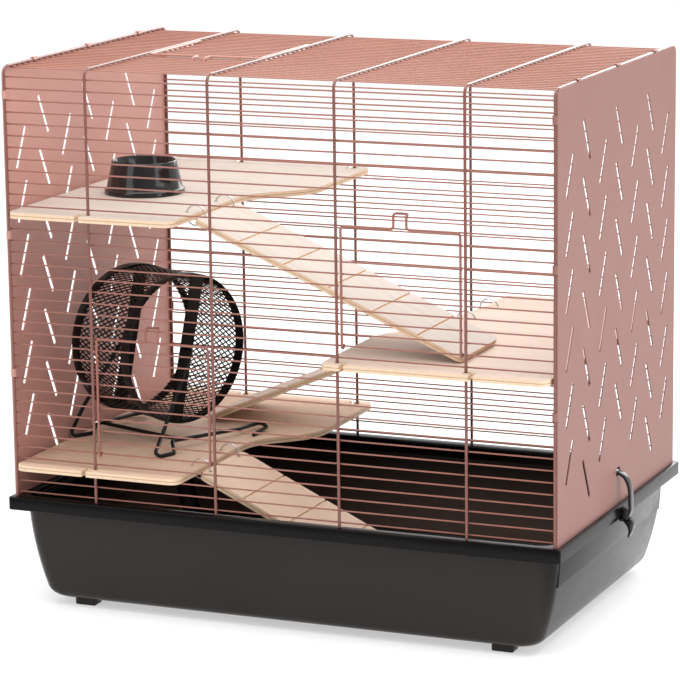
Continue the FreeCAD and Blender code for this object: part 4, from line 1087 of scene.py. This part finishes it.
# %% Wheel stand
STAND_WIRE = 4.0
STAND_BEND = 4.0
STAND_SIDES = 14
GROUND = -WHEEL_HEIGHT + STAND_WIRE / 2 + REST_GAP
PIVOT = (41, 53)
NEAR_STOPS = ((70, -56, 14), (92, -86, 0), (90, -57, 0), (75, -47, 8),
              (75, 42, 5), (68, 78, 5), (82, 74, 3), (89, 49, 0))
FAR_STOPS = ((-52, -58, 26), (-41, -87, 0), (-36, -60, 0), (-44, -48, 6),
             (-56, 18, 5), (-50, 32, 4), (-63, 29, 2), (-70, 10, 0))
TIE_SHARE = 0.12
TIE_EASE = 0.3


def stand_route(side, stops):
    """The bends of a stand wire in the cage, from its pivot to its back foot."""
    points = [mm(side * reach, 0, 0) for reach in PIVOT]
    points += [mm(along, across, GROUND + rise) for along, across, rise in stops]
    return [axle @ point for point in points]


tie_ends = []
for end_name, side, stops in (("near", 1, NEAR_STOPS), ("far", -1, FAR_STOPS)):
    route = stand_route(side, stops)
    leg = disc("leg", route[0], route[1] - route[0], STAND_WIRE * MM, STAND_SIDES)
    draw_along(route, [STAND_BEND * MM] * (len(route) - 2), steps=6)
    settle(leg)
    hand_over(leg, f"round_wheel_stand_{end_name}", black_coat, "cage",
              f"wheel_stand_{end_name}")
    run_start, run_end = route[5:7]
    tie_ends.append(run_start.lerp(run_end, TIE_SHARE))
inset = (tie_ends[1] - tie_ends[0]).normalized() * (STAND_WIRE / 2) * MM
tie = disc("tie", tie_ends[0] + inset, inset, STAND_WIRE * MM, STAND_SIDES)
push(tie_ends[1] - tie_ends[0] - 2 * inset)
bpy.ops.mesh.bevel(offset=TIE_EASE * MM, segments=1, affect="EDGES")
settle(tie)
hand_over(tie, "round_wheel_stand_tie", black_coat, "cage", "wheel_stand_tie")

# %% [markdown]
# ## Clips
# A sprung clip at each end holds the cage on its tray: the nose sits in a slot of the panel,
# the arm bows round the rim, a hook catches under the band and a tail is left for a finger.
# Arm and hook are strips, so they start from a flat plate with eased corners instead of a
# disc, and grow along their routes in the same way. The wedge that fills the arm's bow and
# the leaf-shaped tail are outlines, pushed out to the strip's width. The other end's clip is
# the same one, turned round.

# %% Clips
CLIP_WIDTH, CLIP_SHEET = 9.0, 3.0
STRIP_EASE, PLATE_EASE = 0.7, 0.5
ARM_BENDS = (14, 32, 14)
WEDGE = ((290.5, 99.6), (290.5, 110.5), (297.6, 109.0), (297.0, 100.0), (294.0, 97.0))
TAIL = ((291.0, 98.6), (299.6, 99.2), (302.0, 93.5), (300.6, 87.0), (297.6, 80.4), (296.4, 80.6),
        (297.2, 87.0), (296.0, 91.5), (292.6, 95.4))


def strip(points, bends):
    """A moulded strip along a route in the plane of X and Z."""
    bpy.ops.object.select_all(action="DESELECT")
    heading = (points[1] - points[0]).normalized()
    side = Vector((0, 1, 0))
    matrix = Matrix((side.cross(heading), side, heading)).transposed().to_4x4()
    bpy.ops.mesh.primitive_plane_add(size=1)
    piece = begin("strip")
    piece.matrix_world = (Matrix.Translation(points[0]) @ matrix
                          @ Matrix.Diagonal((CLIP_SHEET * MM, CLIP_WIDTH * MM, 1, 1)))
    settle(piece)
    bpy.ops.object.mode_set(mode="EDIT")
    bpy.ops.mesh.select_all(action="SELECT")
    bpy.ops.mesh.bevel(offset=STRIP_EASE * MM, segments=3, affect="VERTICES")
    bpy.ops.mesh.select_mode(type="FACE")
    bpy.ops.mesh.select_all(action="SELECT")
    draw_along(points, [bend * MM for bend in bends], steps=6)
    settle(piece)
    return piece


def plate(outline):
    """A plate as wide as the strip, from its outline in X and Z."""
    bpy.ops.object.select_all(action="DESELECT")
    bpy.ops.mesh.primitive_circle_add(vertices=len(outline), radius=0.01, fill_type="NGON")
    piece = begin("plate")
    mesh = bmesh.from_edit_mesh(piece.data)
    for vertex, (x, z) in zip(mesh.verts, outline):
        vertex.co = mm(x, CLIP_WIDTH / 2, z)
    bmesh.update_edit_mesh(piece.data)
    push(mm(0, -CLIP_WIDTH, 0))
    bpy.ops.mesh.select_all(action="SELECT")
    bpy.ops.mesh.normals_make_consistent(inside=False)
    bpy.ops.mesh.bevel(offset=PLATE_EASE * MM, segments=2, affect="EDGES")
    settle(piece)
    return piece


arm_route = [mm(280.5, 0, 145), mm(291.5, 0, 145), mm(298.0, 0, 130), mm(298.5, 0, 106.5), mm(293.0, 0, 97.0)]
hook_route = [mm(298, 0, 97.8), mm(287.5, 0, 97.8)]
clip = join([strip(arm_route, ARM_BENDS), strip(hook_route, ()), plate(WEDGE), plate(TAIL)])
left_clip = copy_of(clip, Matrix.Rotation(math.pi, 4, "Z"))
hand_over(left_clip, "sprung_left_clip", clip_plastic, "left_clip", "left_clip")
hand_over(clip, "sprung_right_clip", clip_plastic, "right_clip", "right_clip")
